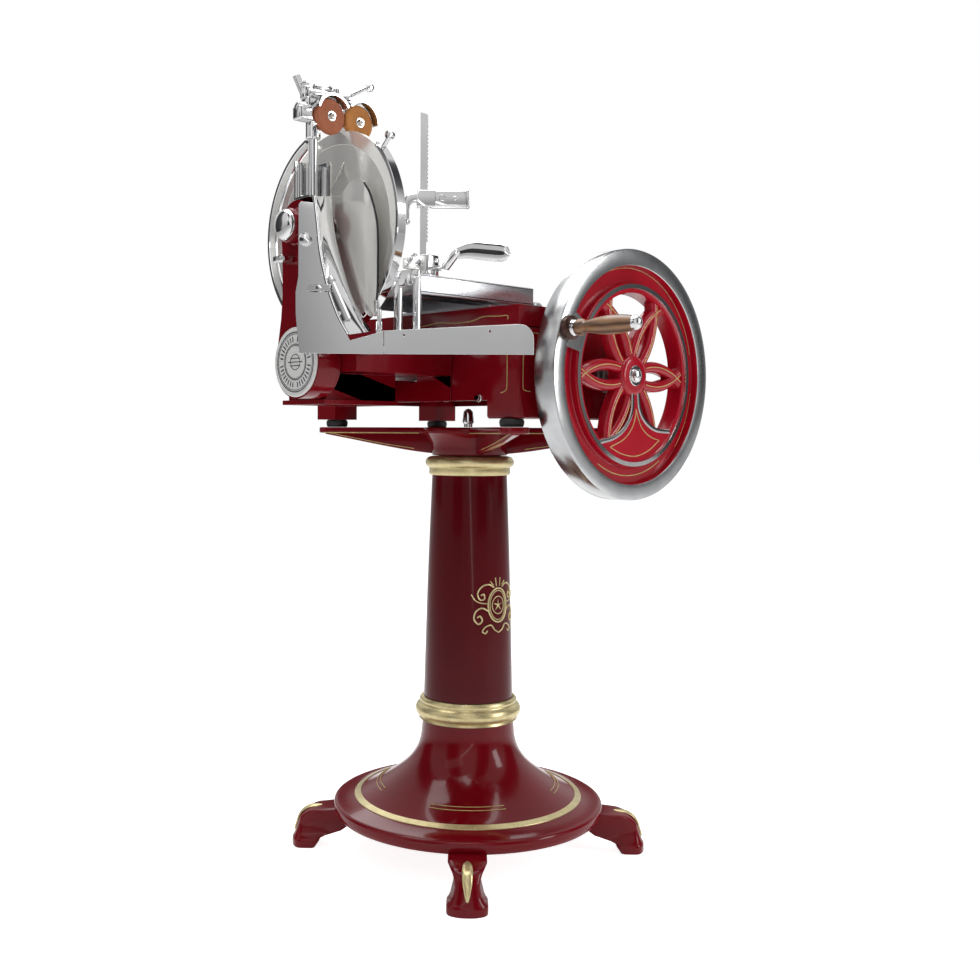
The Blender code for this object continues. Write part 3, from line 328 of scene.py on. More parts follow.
def lathe(profile, steps=64, start=0.0, end=360.0):
    """A profile of (radius, height) turned about Z."""
    whole = abs(end - start - 360) < 1e-6
    count = steps if whole else steps + 1
    verts, rows = [], []
    for radius, height in profile:
        if radius < 1e-7 and whole:
            rows.append([len(verts)] * count)
            verts.append(Vector((0, 0, height)))
            continue
        rows.append(list(range(len(verts), len(verts) + count)))
        for i in range(count):
            a = math.radians(start + (end - start) * i / steps)
            verts.append(Vector((radius * math.cos(a), radius * math.sin(a), height)))
    faces = []
    for upper, lower in zip(rows, rows[1:]):
        for i in range(steps):
            j = (i + 1) % count
            face = []
            for k in (upper[i], lower[i], lower[j], upper[j]):
                if k not in face:
                    face.append(k)
            if len(face) > 2:
                faces.append(tuple(face))
    return verts, faces


def ring(profile, steps=64, start=0.0, end=360.0):
    """A closed profile turned about Z. A part turn gets flat ends."""
    solid = lathe(list(profile) + [profile[0]], steps, start, end)
    if abs(end - start - 360) < 1e-6:
        return solid
    verts, faces = solid
    count = steps + 1
    faces.append(tuple(i * count for i in range(len(profile))))
    faces.append(tuple(i * count + steps for i in range(len(profile)))[::-1])
    return verts, faces


def arc(centre, radius, start, end, steps):
    angles = [math.radians(start + (end - start) * i / steps) for i in range(steps + 1)]
    return [(centre[0] + radius * math.cos(a), centre[1] + radius * math.sin(a)) for a in angles]


def rounded(points, radius, steps=4, closed=True):
    """The corners of a flat outline rounded off."""
    made = []
    count = len(points)
    for i, p in enumerate(points):
        if not closed and i in (0, count - 1):
            made.append(tuple(p))
            continue
        p = Vector(p)
        before, after = Vector(points[i - 1]) - p, Vector(points[(i + 1) % count]) - p
        reach = min(radius, before.length * 0.45, after.length * 0.45)
        a, b = p + before.normalized() * reach, p + after.normalized() * reach
        for k in range(steps + 1):
            t = k / steps
            made.append(tuple(a * (1 - t) ** 2 + p * 2 * t * (1 - t) + b * t * t))
    return made


def plate(outlines, thickness, bevel=0.0004, resolution=1):
    """A flat plate in XY, centred on its thickness, with softened edges."""
    curve = bpy.data.curves.new("outline", "CURVE")
    curve.dimensions = "2D"
    curve.fill_mode = "BOTH"
    curve.extrude = thickness / 2 - bevel
    curve.bevel_depth = bevel
    curve.bevel_resolution = resolution
    curve.offset = -bevel
    for points in outlines:
        spline = curve.splines.new("POLY")
        spline.points.add(len(points) - 1)
        for point, p in zip(spline.points, points):
            point.co = (p[0], p[1], 0, 1)
        spline.use_cyclic_u = True
    holder = bpy.data.objects.new("outline", curve)
    scene.collection.objects.link(holder)
    bpy.context.view_layer.update()
    mesh = bpy.data.meshes.new_from_object(holder.evaluated_get(bpy.context.evaluated_depsgraph_get()))
    bpy.data.objects.remove(holder, do_unlink=True)
    bpy.data.curves.remove(curve)
    bm = bmesh.new()
    bm.from_mesh(mesh)
    bpy.data.meshes.remove(mesh)
    bmesh.ops.remove_doubles(bm, verts=bm.verts, dist=1e-6)
    return from_bmesh(bm)


def spline_points(points, per=8, closed=False):
    """A smooth line through the points."""
    pts = [Vector(p) for p in points]
    count = len(pts)
    made = []
    last = count if closed else count - 1
    for i in range(last):
        p1, p2 = pts[i], pts[(i + 1) % count]
        p0 = pts[i - 1] if closed or i else p1 * 2 - p2
        p3 = pts[(i + 2) % count] if closed or i + 2 < count else p2 * 2 - p1
        for k in range(per):
            t = k / per
            made.append(0.5 * (2 * p1 + (p2 - p0) * t + (2 * p0 - 5 * p1 + 4 * p2 - p3) * t ** 2
                               + (3 * p1 - p0 - 3 * p2 + p3) * t ** 3))
    if not closed:
        made.append(pts[-1])
    return made


def loft(rows, closed=False):
    """Loops of equal length joined in order, with flat ends unless the last one joins the first."""
    size, count = len(rows[0]), len(rows)
    verts = [Vector(p) for row in rows for p in row]
    faces = []
    for i in range(count if closed else count - 1):
        j = (i + 1) % count
        for k in range(size):
            l = (k + 1) % size
            faces.append((i * size + k, i * size + l, j * size + l, j * size + k))
    if not closed:
        faces += [tuple(range(size))[::-1], tuple((count - 1) * size + k for k in range(size))]
    return verts, faces


def sweep(points, section, up=(0, 0, 1), scale=None, closed=False):
    """A flat section carried along a line. Its y side keeps to the up direction; scale may change its size."""
    up = Vector(up)
    rows = []
    count = len(points)
    for i, p in enumerate(points):
        before = points[i - 1] if i or closed else p
        after = points[(i + 1) % count] if i + 1 < count or closed else p
        tangent = (after - before).normalized()
        side = tangent.cross(up)
        side = side.normalized() if side.length > 1e-6 else Vector((1, 0, 0))
        top = side.cross(tangent).normalized()
        sx, sy = scale[i] if scale else (1, 1)
        rows.append([p + side * (x * sx) + top * (y * sy) for x, y in section])
    return loft(rows, closed)


def oval(width, height, sides):
    angles = [2 * math.pi * k / sides for k in range(sides)]
    return [(width * math.cos(a), height * math.sin(a)) for a in angles]


def circle(radius, sides=12):
    return oval(radius, radius, sides)


def bar(width, height, corner, steps=3):
    w, h = width / 2, height / 2
    return rounded([(-w, -h), (w, -h), (w, h), (-w, h)], corner, steps)


def tube(points, radius, sides=12, per=8, up=(0, 0, 1)):
    return sweep(spline_points(points, per), circle(radius, sides), up)


def along(start, end):
    """The matrix that stands a piece made along Z on start, pointing at end."""
    start, end = Vector(start), Vector(end)
    return Matrix.Translation(start) @ (end - start).to_track_quat("Z", "Y").to_matrix().to_4x4()


def pin(start, end, radius, chamfer=0.0006, steps=24):
    length = (Vector(end) - Vector(start)).length
    c = min(chamfer, radius * 0.5, length * 0.4)
    profile = [(0, length), (radius - c, length), (radius - c * 0.3, length - c * 0.3), (radius, length - c),
               (radius, c), (radius - c * 0.3, c * 0.3), (radius - c, 0), (0, 0)]
    return moved(lathe(profile, steps), along(start, end))


def hex_nut(start, end, across, washer=1.0, bolt=0.0):
    """A chamfered hexagon with a washer under it, and a bolt end above it where asked."""
    start, end = Vector(start), Vector(end)
    length = (end - start).length
    r = across / 2 / math.cos(math.pi / 6)
    verts, faces = [], []
    for z, share in ((0, 1.0), (length * 0.82, 1.0), (length, 0.88)):
        verts += [Vector((x, y, z)) for x, y in circle(r * share, 6)]
    for row in (0, 6):
        for k in range(6):
            l = (k + 1) % 6
            faces.append((row + k, row + l, row + 6 + l, row + 6 + k))
    faces += [tuple(range(6))[::-1], tuple(range(12, 18))]
    solids = [(verts, faces)]
    if washer:
        w = across * 0.62 * washer
        solids.append(lathe([(0, 0.0008), (w - 0.0003, 0.0008), (w, 0.0005), (w, -0.0005), (0, -0.0005)], 28))
    if bolt:
        b = across * 0.3
        rise = bolt * across
        profile = [(0, length + rise), (b * 0.6, length + rise * 0.95), (b, length + rise * 0.6),
            (b, length - 0.001), (0, length - 0.001)]
        solids.append(lathe(profile, 20))
    return moved(merged(*solids), along(start, end))


def screw(place, normal, radius=0.0035, height=0.0018):
    """A domed slotted screw head."""
    profile = [(0, height), (radius * 0.5, height * 0.92), (radius * 0.85, height * 0.6), (radius, height * 0.15),
        (radius, -0.0005), (0, -0.0005)]
    head = lathe(profile, 20)
    slot = box((-radius * 0.8, -radius * 0.12, height * 0.8), (radius * 0.8, radius * 0.12, height * 1.04), 0)
    turn = Vector(normal).to_track_quat("Z", "Y").to_matrix().to_4x4()
    return at(merged(head, slot), place, turn)


def make(name, solid, look, replaces=None, angle=32, body="frame"):
    """A piece that rides on a body. The CAD node it replaces, if one is given, is hidden."""
    mesh = bpy.data.meshes.new(name)
    mesh.from_pydata([tuple(v) for v in solid[0]], [], solid[1])
    bm = bmesh.new()
    bm.from_mesh(mesh)
    bmesh.ops.remove_doubles(bm, verts=bm.verts, dist=1e-7)
    bmesh.ops.recalc_face_normals(bm, faces=bm.faces)
    bm.to_mesh(mesh)
    bm.free()
    mesh.shade_smooth()
    mesh.set_sharp_from_angle(angle=math.radians(angle))
    mesh.materials.append(look)
    obj = bpy.data.objects.new(name, mesh)
    scene.collection.objects.link(obj)
    obj.location = AXIS
    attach(obj, body)
    if replaces:
        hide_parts(replaces)


def lines(name, paths, up):
    """Thin painted lines that stand a hair proud of the surface under them."""
    section = bar(0.0016, 0.0009, 0.00036, 2)
    make(name, merged(*(sweep(spline_points(path, 6), section, up) for path in paths)), LINE)


# Floor

floor = bpy.data.meshes.new("floor")
floor.from_pydata([(-30, -30, 0), (30, -30, 0), (30, 30, 0), (-30, 30, 0)], [], [(0, 1, 2, 3)])
floor_object = bpy.data.objects.new("floor", floor)
scene.collection.objects.link(floor_object)
floor_object.location.z = -0.0005
paper = bpy.data.materials.new("floor_paper")
paper.use_nodes = True
shader = paper.node_tree.nodes["Principled BSDF"]
for key, value in (("Base Color", (0.93, 0.93, 0.93, 1)), ("Roughness", 0.9), ("Emission Color", (1, 1, 1, 1))):
    shader.inputs[key].default_value = value
# The floor glows for the camera much more than for the metals, which would otherwise mirror it as plain white.
camera_ray = add(paper.node_tree, "LightPath").outputs["Is Camera Ray"]
glow = compute(paper.node_tree, "MULTIPLY_ADD", camera_ray, 0.68, 0.2)
paper.node_tree.links.new(glow, shader.inputs["Emission Strength"])
floor.materials.append(paper)


def smooth_profile(points, per=5):
    return [(p.x, p.y) for p in spline_points([(x, y, 0) for x, y in points], per)]


def finish_node(name, look, bevel):
    """A CAD node shown as it is, with its edges softened."""
    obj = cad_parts[name]
    obj.data.materials.clear()
    obj.data.materials.append(look)
    if "custom_normal" in obj.data.attributes:
        obj.data.attributes.remove(obj.data.attributes["custom_normal"])
    obj.data.shade_smooth()
    weld = obj.modifiers.new("weld", "WELD")
    weld.merge_threshold = 0.00001
    edge = obj.modifiers.new("edges", "BEVEL")
    edge.width = bevel
    edge.segments = 2
    edge.limit_method = "ANGLE"
    edge.angle_limit = math.radians(30)
    edge.harden_normals = True


# Pedestal


def pedestal():
    outer = smooth_profile(
        mm((88.5, 262), (89.2, 247), (93, 215), (104, 188), (125, 163), (160, 137), (200, 115), (230, 104),
            (257.5, 98.5))
    )
    lip = mm((260, 96.5), (260.8, 93), (260.8, 86), (259.5, 80), (256, 75.7), (248, 76.2))
    inner = mm((243, 84), (220, 93), (180, 113), (140, 138), (105, 172), (80, 215), (74, 262))
    make("pedestal_dish", ring(outer + lip + inner, 144), RED, "pedestal_base", 50)
    band = mm((208.5, 110), (208.3, 112.2), (208.7, 112.7), (214.5, 110.5), (220.2, 108.4), (220.6, 107.8),
        (220.4, 106))
    make("pedestal_gold_band", ring(band, 144), GOLD)
    for i, (radius, height) in enumerate(((0.177, 0.1265), (0.17, 0.1307)), start=1):
        thin = [(radius + x, height + 0.0011 + z) for x, z in circle(0.0008, 8)]
        arcs = [ring(thin, 26, angle - 23, angle + 23) for angle in CORNERS]
        make(f"dish_gold_line_{i}", merged(*arcs), LINE)
    sections = mm((0, 297, 343, 35), (2, 296, 344, 35.8), (12, 289, 344, 35.8), (16.5, 287.5, 343.5, 35),
        (18.5, 285, 342, 32.5), (22.5, 275, 340, 29), (31, 245, 337, 24.5), (45, 225, 333, 22),
        (56, 212, 329, 22.8), (64, 205, 322, 26), (70, 200, 314, 30.5), (73.5, 195, 304, 34), (77, 195, 270, 34),
        (80, 195, 250, 30))
    loops = []
    for z, low, high, half in sections:
        corner = rounded([(low, -half), (high - half * 0.3, -half), (high, -half * 0.42), (high, half * 0.42),
                          (high - half * 0.3, half), (low, half)], 0.01, 4)
        loops.append([(x, y, z) for x, y in corner])
    foot = loft(loops)
    ridge = spline_points(mm((286, 0, 74.2), (303, 0, 74), (315, 0, 70.5), (324, 0, 64), (331, 0, 54), (334, 0, 45),
        (337.2, 0, 35), (339.2, 0, 26)), 4)
    steps = len(ridge) - 1
    widths = [(0.3 + 1.0 * math.sin(math.pi * (i / steps) ** 0.6) ** 0.8, 1.0) for i in range(steps + 1)]
    claw = sweep(ridge, [(0.0072 * x, 0.0026 * y) for x, y in circle(1.0, 14)], scale=widths)
    for number, angle in enumerate(CORNERS, start=1):
        turn = Matrix.Rotation(math.radians(angle), 4, "Z")
        make(f"claw_foot_{number}", moved(foot, turn), RED, angle=50)
        make(f"claw_gold_{number}", moved(claw, turn), GOLD, angle=60)


def collars():
    lower = [(0.064, 0.2572), (0.096, 0.2572), *arc((0.0874, 0.2745), 0.015, -62, 62, 14),
        *mm((93.5, 290), (94.5, 292.5), (93.8, 296), (90.5, 299.5), (64, 299.8))]
    make("foot_collar", ring(lower, 96), GOLD, "lower_collar", 40)
    upper = [(0.064, 0.729), (0.076, 0.7292), (0.0785, 0.733), (0.0778, 0.739),
        *arc((0.0744, 0.7535), 0.011, -70, 80, 12), (0.074, 0.765), (0.064, 0.765)]
    make("head_collar", ring(upper, 96), GOLD, "upper_collar", 40)


def column():
    low, high = 0.3003, 0.7285
    foot, head = 0.0865, 0.0722

    def radius(z):
        return foot + (head - foot) * (z - low) / (high - low)

    def on_column(points, lift=0.0012):
        """Points of (sideways, up) laid round the front of the column."""
        made = []
        for u, v in points:
            z = 0.485 + v
            r = radius(z) + lift
            a = math.radians(-92) + u / r
            made.append((r * math.cos(a), r * math.sin(a), z))
        return made

    profile = [(0.064, low)]
    for i in range(25):
        z = low + (high - low) * i / 24
        profile.append((radius(z) + 0.0008 * math.sin(math.pi * i / 24), z))
    profile.append((0.064, high))
    # The column takes the darkened red enamel, which paints in its shade.
    make("red_column", ring(profile[::-1], 128), SHADED_RED, "column", 50)
    paths = [(oval(0.0235, 0.032, 28), True, 0.0017), (oval(0.0195, 0.0275, 28), True, 0.0009),
        (oval(0.0145, 0.0165, 28), True, 0.0009)]
    curls = (
        (0.0016, mm((10, 34), (22, 40), (36, 36), (44, 24), (40, 12), (31, 13), (32, 22), (38, 20))),
        (0.0016, mm((24, -10), (36, -4), (48, -10), (52, -24), (44, -34), (36, -28), (40, -19), (46, -22))),
        (0.0014, mm((0, -52), (10, -46), (18, -37), (30, -40), (36, -48), (30, -52), (26, -47))),
        (0.0012, mm((26, 4), (40, 6), (50, 12), (56, 22))),
    )
    for side in (-1, 1):
        paths += [([(side * x, y) for x, y in curl], False, thick) for thick, curl in curls]
        for k in range(3):
            ray = [(side * (0.004 + 0.007 * k), 0.036 + 0.002 * k), (side * (0.006 + 0.012 * k), 0.052 - 0.006 * k)]
            paths.append((ray, False, 0.0011))
    solids = []
    for points, closed, thick in paths:
        line = spline_points(on_column(points), 5, closed)
        solids.append(sweep(line, circle(thick, 8), (0, -1, 0), None, closed))
    for k in range(5):
        a = math.radians(90 + 72 * k)
        star = [Vector(p) for p in on_column([(0.0, 0.0), (0.011 * math.cos(a), 0.011 * math.sin(a))], 0.0008)]
        solids.append(sweep(star, circle(0.0013, 8), (0, -1, 0), [(1.3, 1.3), (0.3, 0.3)]))
    make("column_crest", merged(*solids), GOLD, angle=60)


def stand_head():
    neck = mm((60, 766.8), (71.5, 766.8), (73, 769), (73, 780), (76, 793), (85, 805), (89.5, 808.5), (90, 812),
        (90, 818), (88.5, 819.8), (60, 819.8))
    solids = [ring(neck, 96)]
    reach = 0.3073
    web = [(0.04, 0.77), *smooth_profile(mm((70, 769), (120, 775), (180, 785), (240, 796), (296, 806))),
           (0.3, 0.812), (0.04, 0.812)]
    stem = moved(plate([web], 0.014, 0.0015, 2), FACE_X)
    flange = loft([
        [(x, s, z) for s, x in rounded([(0.02, -w), (reach - 0.012, -w), (reach - d, -w + 0.01),
            (reach - d, w - 0.01), (reach - 0.012, w), (0.02, w)], 0.008, 4)]
        for z, w, d in mm((808.5, 24.5, 2), (809.5, 25.7, 0.5), (810.5, 26, 0), (817.8, 26, 0), (819, 25.4, 0.6),
            (819.8, 24.4, 1.6))
    ])
    arm = merged(stem, flange)
    turns = [Matrix.Rotation(math.atan2(y, x) - math.pi / 2, 4, "Z")
             for x, y in mm((138, 237), (-138, 237), (-138, -237), (138, -237))]
    solids += [moved(arm, turn) for turn in turns]
    make("head_casting", merged(*solids), RED, "stand_head", 40)
    solids = []
    for turn in turns[1:]:
        for side in (-1, 1):
            path = [turn @ Vector((side * x, s, 0.8092)) for x, s in ((0.0262, 0.095), (0.0262, reach - 0.016))]
            solids.append(sweep(spline_points(path, 6), circle(0.0009, 8)))
        for x in (0.0075, -0.0075):
            path = [turn @ Vector((x, s, z + 0.004)) for s, z in mm((110, 775), (180, 785), (240, 796), (290, 805))]
            solids.append(sweep(spline_points(path, 5), circle(0.0008, 8)))
    make("head_gold_lines", merged(*solids), LINE)
    for number in range(1, 5):
        node = f"rubber_pad_{number}"
        low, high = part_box(node)
        centre = (low + high) / 2 - AXIS
        height = high.z - low.z
        profile = [(0, height), (0.0185, height), (0.0205, height * 0.88), (0.0215, height * 0.55),
            (0.0205, height * 0.15), (0.019, 0), (0, 0)]
        pad = at(lathe(profile, 40), (centre.x, centre.y, low.z))
        make(f"foot_pad_{number}", pad, BLACK, node)
    low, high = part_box("head_bolt")
    centre = (low + high) / 2 - AXIS
    height = high.z - low.z
    profile = [(0, height), (0.004, height - 0.001), (0.0085, height - 0.006), (0.0105, 0.012), (0.0105, 0.009),
        (0.008, 0.006), (0.008, 0), (0, 0)]
    make("acorn_knob", at(lathe(profile, 28), (centre.x, centre.y, low.z)), CHROME, "head_bolt")


pedestal()
collars()
column()
stand_head()


# Flywheel, whose local x runs to +X and y up, with z towards the front

def on_wheel(solid):
    return at(solid, WHEEL, TO_FRONT)


def wheel_line(points, z):
    return spline_points([(x * R, y * R, z) for x, y in points], 6)


def wheel_bow(radius, start, end, steps):
    """A bow on the red band, between two angles in degrees."""
    return [Vector((x, y, -0.0136)) for x, y in arc((0, 0), radius * R, start, end, steps)]


def flywheel():
    rim = [(R - 0.003, 0.0), (R - 0.0008, -0.001), (R, -0.003), (R, -0.041), (R - 0.001, -0.0432),
        (R - 0.003, -0.044), (0.87 * R, -0.044), (0.87 * R, -0.0012), (0.87 * R + 0.0008, -0.0002),
        (0.87 * R + 0.002, 0.0)]
    make("wheel_tyre", on_wheel(ring(rim, 160)), SATIN, "flywheel_rim", 25, body="flywheel")
    band = [(0.8695 * R, -0.0015), (0.866 * R, -0.003), (0.86 * R, -0.0125), (0.852 * R, -0.014),
        (0.745 * R, -0.014), (0.737 * R, -0.0125), (0.73 * R, -0.003), (0.725 * R, -0.0015),
        (0.725 * R, -0.036), (0.8695 * R, -0.036)]
    inner = [(0.69 * R, -0.003), (0.69 * R, -0.034), (0.656 * R, -0.034), (0.654 * R, -0.032), (0.654 * R, -0.006),
        (0.657 * R, -0.0032)]
    solids = [ring(band, 160), ring(inner, 160)]
    width, depth = 0.09 * R, 0.02
    half = [(width / 2, -depth / 2), (width / 2, depth * 0.1), (width * 0.42, depth * 0.32),
        (width * 0.22, depth * 0.46)]
    section = [(-width / 2, -depth / 2), *half, (0, depth / 2), *((-x, y) for x, y in half[:0:-1])]
    gold = []
    limit = math.degrees(2 * math.asin(0.675 / 1.2))
    for x, y in circle(0.6 * R, 6):
        start = math.degrees(math.atan2(y, x)) + 180
        points = [Vector((*p, -0.015)) for p in arc((x, y), 0.6 * R, start - limit, start + limit, 48)]
        solids.append(sweep(points, section))
        for part in (points[:21], points[28:]):
            line = [p + Vector((0, 0, depth / 2 + 0.0001)) for p in part if 0.17 * R < p.xy.length < 0.662 * R]
            if len(line) > 3:
                gold.append(sweep(line, bar(0.0017, 0.0009, 0.0003, 2)))
    left = ((-0.02, -0.12), (-0.03, -0.293), (-0.124, -0.423), (-0.263, -0.496), (-0.45, -0.53))
    right = ((0.05, -0.12), (0.075, -0.264), (0.156, -0.365), (0.296, -0.43), (0.483, -0.445))
    edge, other = ([(p.x, p.y) for p in wheel_line(side, 0)] for side in (left, right))
    start, end = (math.degrees(math.atan2(y, x)) for x, y in ((0.483, -0.445), (-0.45, -0.53)))
    bottom = arc((0, 0), 0.685 * R, start, end, 20)
    fan = plate([edge[::-1] + other + bottom], 0.012, 0.001, 2)
    solids.append(at(fan, (0, 0, -0.0095)))
    hub = [(0, -0.0005), (0.12 * R, -0.0005), (0.148 * R, -0.0018), (0.16 * R, -0.0045), (0.165 * R, -0.01),
        (0.17 * R, -0.032), (0.105 * R, -0.034), (0, -0.034)]
    solids.append(lathe(hub, 64))
    make("wheel_flower", on_wheel(merged(*solids)), WHEEL_RED, "flywheel_web", 38, body="flywheel")
    silver = [(0.726 * R, 0.0), (0.725 * R, 0.001), (0.691 * R, 0.001), (0.6895 * R, 0.0), (0.6895 * R, -0.035),
        (0.726 * R, -0.035)]
    chrome = [ring(silver, 160)]
    bridge = [(0.871 * R, 0.0006), (0.722 * R, 0.0006), (0.722 * R, -0.035), (0.871 * R, -0.035)]
    chrome.append(ring(bridge, 12, 149.0, 167.5))
    for side in (left, right):
        chrome.append(sweep(wheel_line(side, -0.0032), bar(0.034 * R, 0.003, 0.001, 3)))
    make("wheel_silver", on_wheel(merged(*chrome)), CHROME, body="flywheel", angle=25)
    for path in (
        ((0.028, -0.264), (0.022, -0.33), (-0.03, -0.43), (-0.13, -0.51), (-0.298, -0.568)),
        ((0.028, -0.264), (0.05, -0.32), (0.11, -0.415), (0.22, -0.485), (0.347, -0.517)),
        ((-0.298, -0.568), (-0.15, -0.622), (0.028, -0.643), (0.2, -0.6), (0.347, -0.517)),
    ):
        gold.append(sweep(wheel_line(path, -0.0033), bar(0.0016, 0.0012, 0.0004, 2)))
    start, end = (math.degrees(math.atan2(y, x)) for x, y in ((-0.403, -0.717), (0.385, -0.64)))
    gold.append(sweep(wheel_bow(0.8, start, end, 30), bar(0.0018, 0.001, 0.0003, 2)))
    for start, end in ((14, 128), (184, 224), (318, 352)):
        gold.append(sweep(wheel_bow(0.855, start, end, 40), bar(0.0011, 0.0008, 0.0003, 2)))
    make("wheel_gold_lines", on_wheel(merged(*gold)), LINE, body="flywheel")
    bolt = [(0, 0.0085), (0.03 * R, 0.0078), (0.05 * R, 0.005), (0.056 * R, 0.001), (0.056 * R, -0.001),
        (0, -0.001)]
    washer = [(0, 0.0012), (0.078 * R, 0.0012), (0.082 * R, 0.0002), (0.082 * R, -0.001), (0, -0.001)]
    make("wheel_bolt", on_wheel(merged(lathe(bolt, 36), lathe(washer, 48))), CHROME, "hub_bolt", body="flywheel")


def handle():
    boss = mm((0, 12), (12, 12), (17.5, 10.5), (20.7, 7.5), (21.5, 3), (21.5, 0.4), (0, 0.4))
    make("handle_boss", at(lathe(boss, 48), HANDLE, TO_FRONT), BROWN, body="flywheel")
    rings = mm((0, 18.6), (10, 18.6), (12, 18), (12.8, 16.5), (12, 15.2), (11.6, 14.8), (13.2, 13.8), (13.8, 12.5),
        (13.2, 11.2), (0, 11.2))
    make("handle_ferrule", at(lathe(rings, 48), HANDLE, TO_FRONT), CHROME, "handle_stud", body="flywheel")
    profile = smooth_profile(
        mm((10, 19.2), (12.8, 21.2), (14, 26), (12.8, 31), (10.3, 34.5), (9.7, 38.5), (10.8, 45), (13.4, 60),
            (15.2, 76), (15.7, 90), (15, 108), (13.2, 123), (11.6, 131)), 4)
    wood = [(0, 0.019)] + profile + [(0.0105, 0.1335), (0, 0.1336)]
    make("walnut_grip", at(lathe(wood[::-1], 56), HANDLE, TO_FRONT), WALNUT, "handle_grip", 50, body="grip")
    cap = mm((0, 145.5), (5, 145), (9, 142.5), (11.2, 138.5), (12.2, 135), (12.2, 133.6), (10.8, 133), (0, 133))
    make("grip_cap", at(lathe(cap, 48), HANDLE, TO_FRONT), CHROME, body="grip")


flywheel()
handle()


# Machine base: lines, bolts and screws on the casting and its housing


def gold_lines():
    x = -0.1503  # just outside the housing's left face
    paths = [
        [(x, -0.236, 0.978), (x, -0.2365, 0.94), (x, -0.2365, 0.893), (x, -0.2335, 0.882), (x, -0.222, 0.878)],
        [(x, -0.236, 0.978), (x, -0.224, 0.9785), (x, -0.196, 0.9785)],
        [(x, -0.005, 1.001), (x, -0.04, 1.0035), (x, -0.07, 1.006), (x, -0.11, 1.003), (x, -0.15, 1.0035),
         (x, -0.18, 1.0095), (x, -0.215, 1.008), (x, -0.236, 1.0075), (x, -0.237, 1.001)],
    ]
    lines("side_gold_lines", paths, (1, 0, 0))
    y = -0.2623  # just outside its front face
    paths = [
        [(-0.138, y, 0.978), (-0.1385, y, 0.94), (-0.1385, y, 0.89), (-0.134, y, 0.882), (-0.12, y, 0.88)],
        [(-0.138, y, 0.978), (-0.128, y, 0.979), (-0.1, y, 0.979)],
    ]
    lines("front_gold_lines", paths, (0, 1, 0))


def base_details():
    chrome = [
        hex_nut((-0.15, -0.17, 0.87), (-0.156, -0.17, 0.87), 0.011, 1.0, 0.0),
        hex_nut((-0.366, 0.035, 0.9), (-0.373, 0.035, 0.9), 0.013, 1.0, 0.3),
        screw((-0.15, -0.06, 0.942), (-1, 0, 0), 0.0045), screw((-0.15, -0.205, 0.955), (-1, 0, 0), 0.004),
    ]
    make("base_bolts", merged(*chrome), CHROME)


gold_lines()
base_details()


# Arm, badge and blade


def blade_arm():
    hub = mm((0, 22.2), (23.5, 22.2), (26.2, 20.8), (28.5, 17), (28.5, 3), (31, 0.6), (31, 0), (0, 0))
    make("arm_dome", at(lathe(hub, 64), (ARM_FACE, 0, SHAFT_Z), TO_LEFT), RED, "arm_hub", 40)
    cap = mm((0, 12.1), (8, 11.9), (15, 10.8), (20.5, 8.6), (24, 5.2), (25.5, 1.5), (25.5, 0))
    make("arm_chrome_cap", at(lathe(smooth_profile(cap, 3) + [(0, 0)], 64), (-0.437, 0, SHAFT_Z), TO_LEFT), CHROME,
        "arm_cap", 45)
    disc = mm((0, 2.6), (53.5, 2.6), (54.5, 3.2), (57, 3.2), (58.6, 2), (58.6, 0), (0, 0))
    badge = Vector((ARM_FACE, 0, 0.9275))
    make("badge_disc", at(lathe(disc, 96), badge, TO_LEFT), WHITE, "badge_plate", 30)
    solids = []
    for radius, width in mm((50, 0.9), (47, 0.5), (30, 0.7), (27.8, 0.5), (13, 0.6)):
        inside, outside = radius - width, radius + width
        solids.append(ring([(inside, 0.0026), (inside, 0.0029), (outside, 0.0029), (outside, 0.0026)], 96))
    tick = box((0.034, -0.0011, 0.0026), (0.043, 0.0011, 0.0029), 0)
    solids += [moved(tick, Matrix.Rotation(math.radians(10 * k), 4, "Z")) for k in range(36) if k % 9]
    for offset in (-0.006, 0.0, 0.006):
        solids.append(box((offset - 0.0007, -0.02 + abs(offset), 0.0026),
            (offset + 0.0007, 0.02 - abs(offset), 0.0029), 0))
    make("badge_rings", at(merged(*solids), badge, TO_LEFT), INK)
    lug = merged(box((-0.44, 0.006, 1.094), (-0.415, 0.034, 1.106), 0.003),
        pin((-0.442, 0.02, 1.1), (-0.415, 0.02, 1.1), 0.0035))
    make("arm_lug", lug, CHROME)


def cutting_blade():
    r = 0.17
    half = 0.00295
    profile = [(0, half), (0.06, half), (0.0605, half * 0.8), (0.12, half * 0.62), (0.146, half * 0.62),
        (0.1465, half * 0.75), (r - 0.0015, -half * 0.6), (r, -half), (0.14, -half * 0.7),
        (0.06, -half * 0.85), (0, -half)]
    disc = lathe(profile, 192)
    make("round_blade", at(disc, BLADE + Vector((0.0006, 0, 0)), TO_LEFT), LEAF, "blade", 20, body="blade_unit")
    hub = mm((0, 11), (18, 11), (23, 9.8), (25.8, 7), (26, 0), (20, -3), (0, -3))
    nut = hex_nut((0, 0, 0.0105), (0, 0, 0.0135), 0.006)
    angles = [k * math.pi / 2 + 0.4 for k in range(4)]
    bolts = [at(nut, (0.0165 * math.cos(a), 0.0165 * math.sin(a), 0)) for a in angles]
    make("blade_hub", at(merged(lathe(hub, 56), *bolts), (-0.3305, 0, SHAFT_Z), TO_X), CHROME, body="blade_unit")


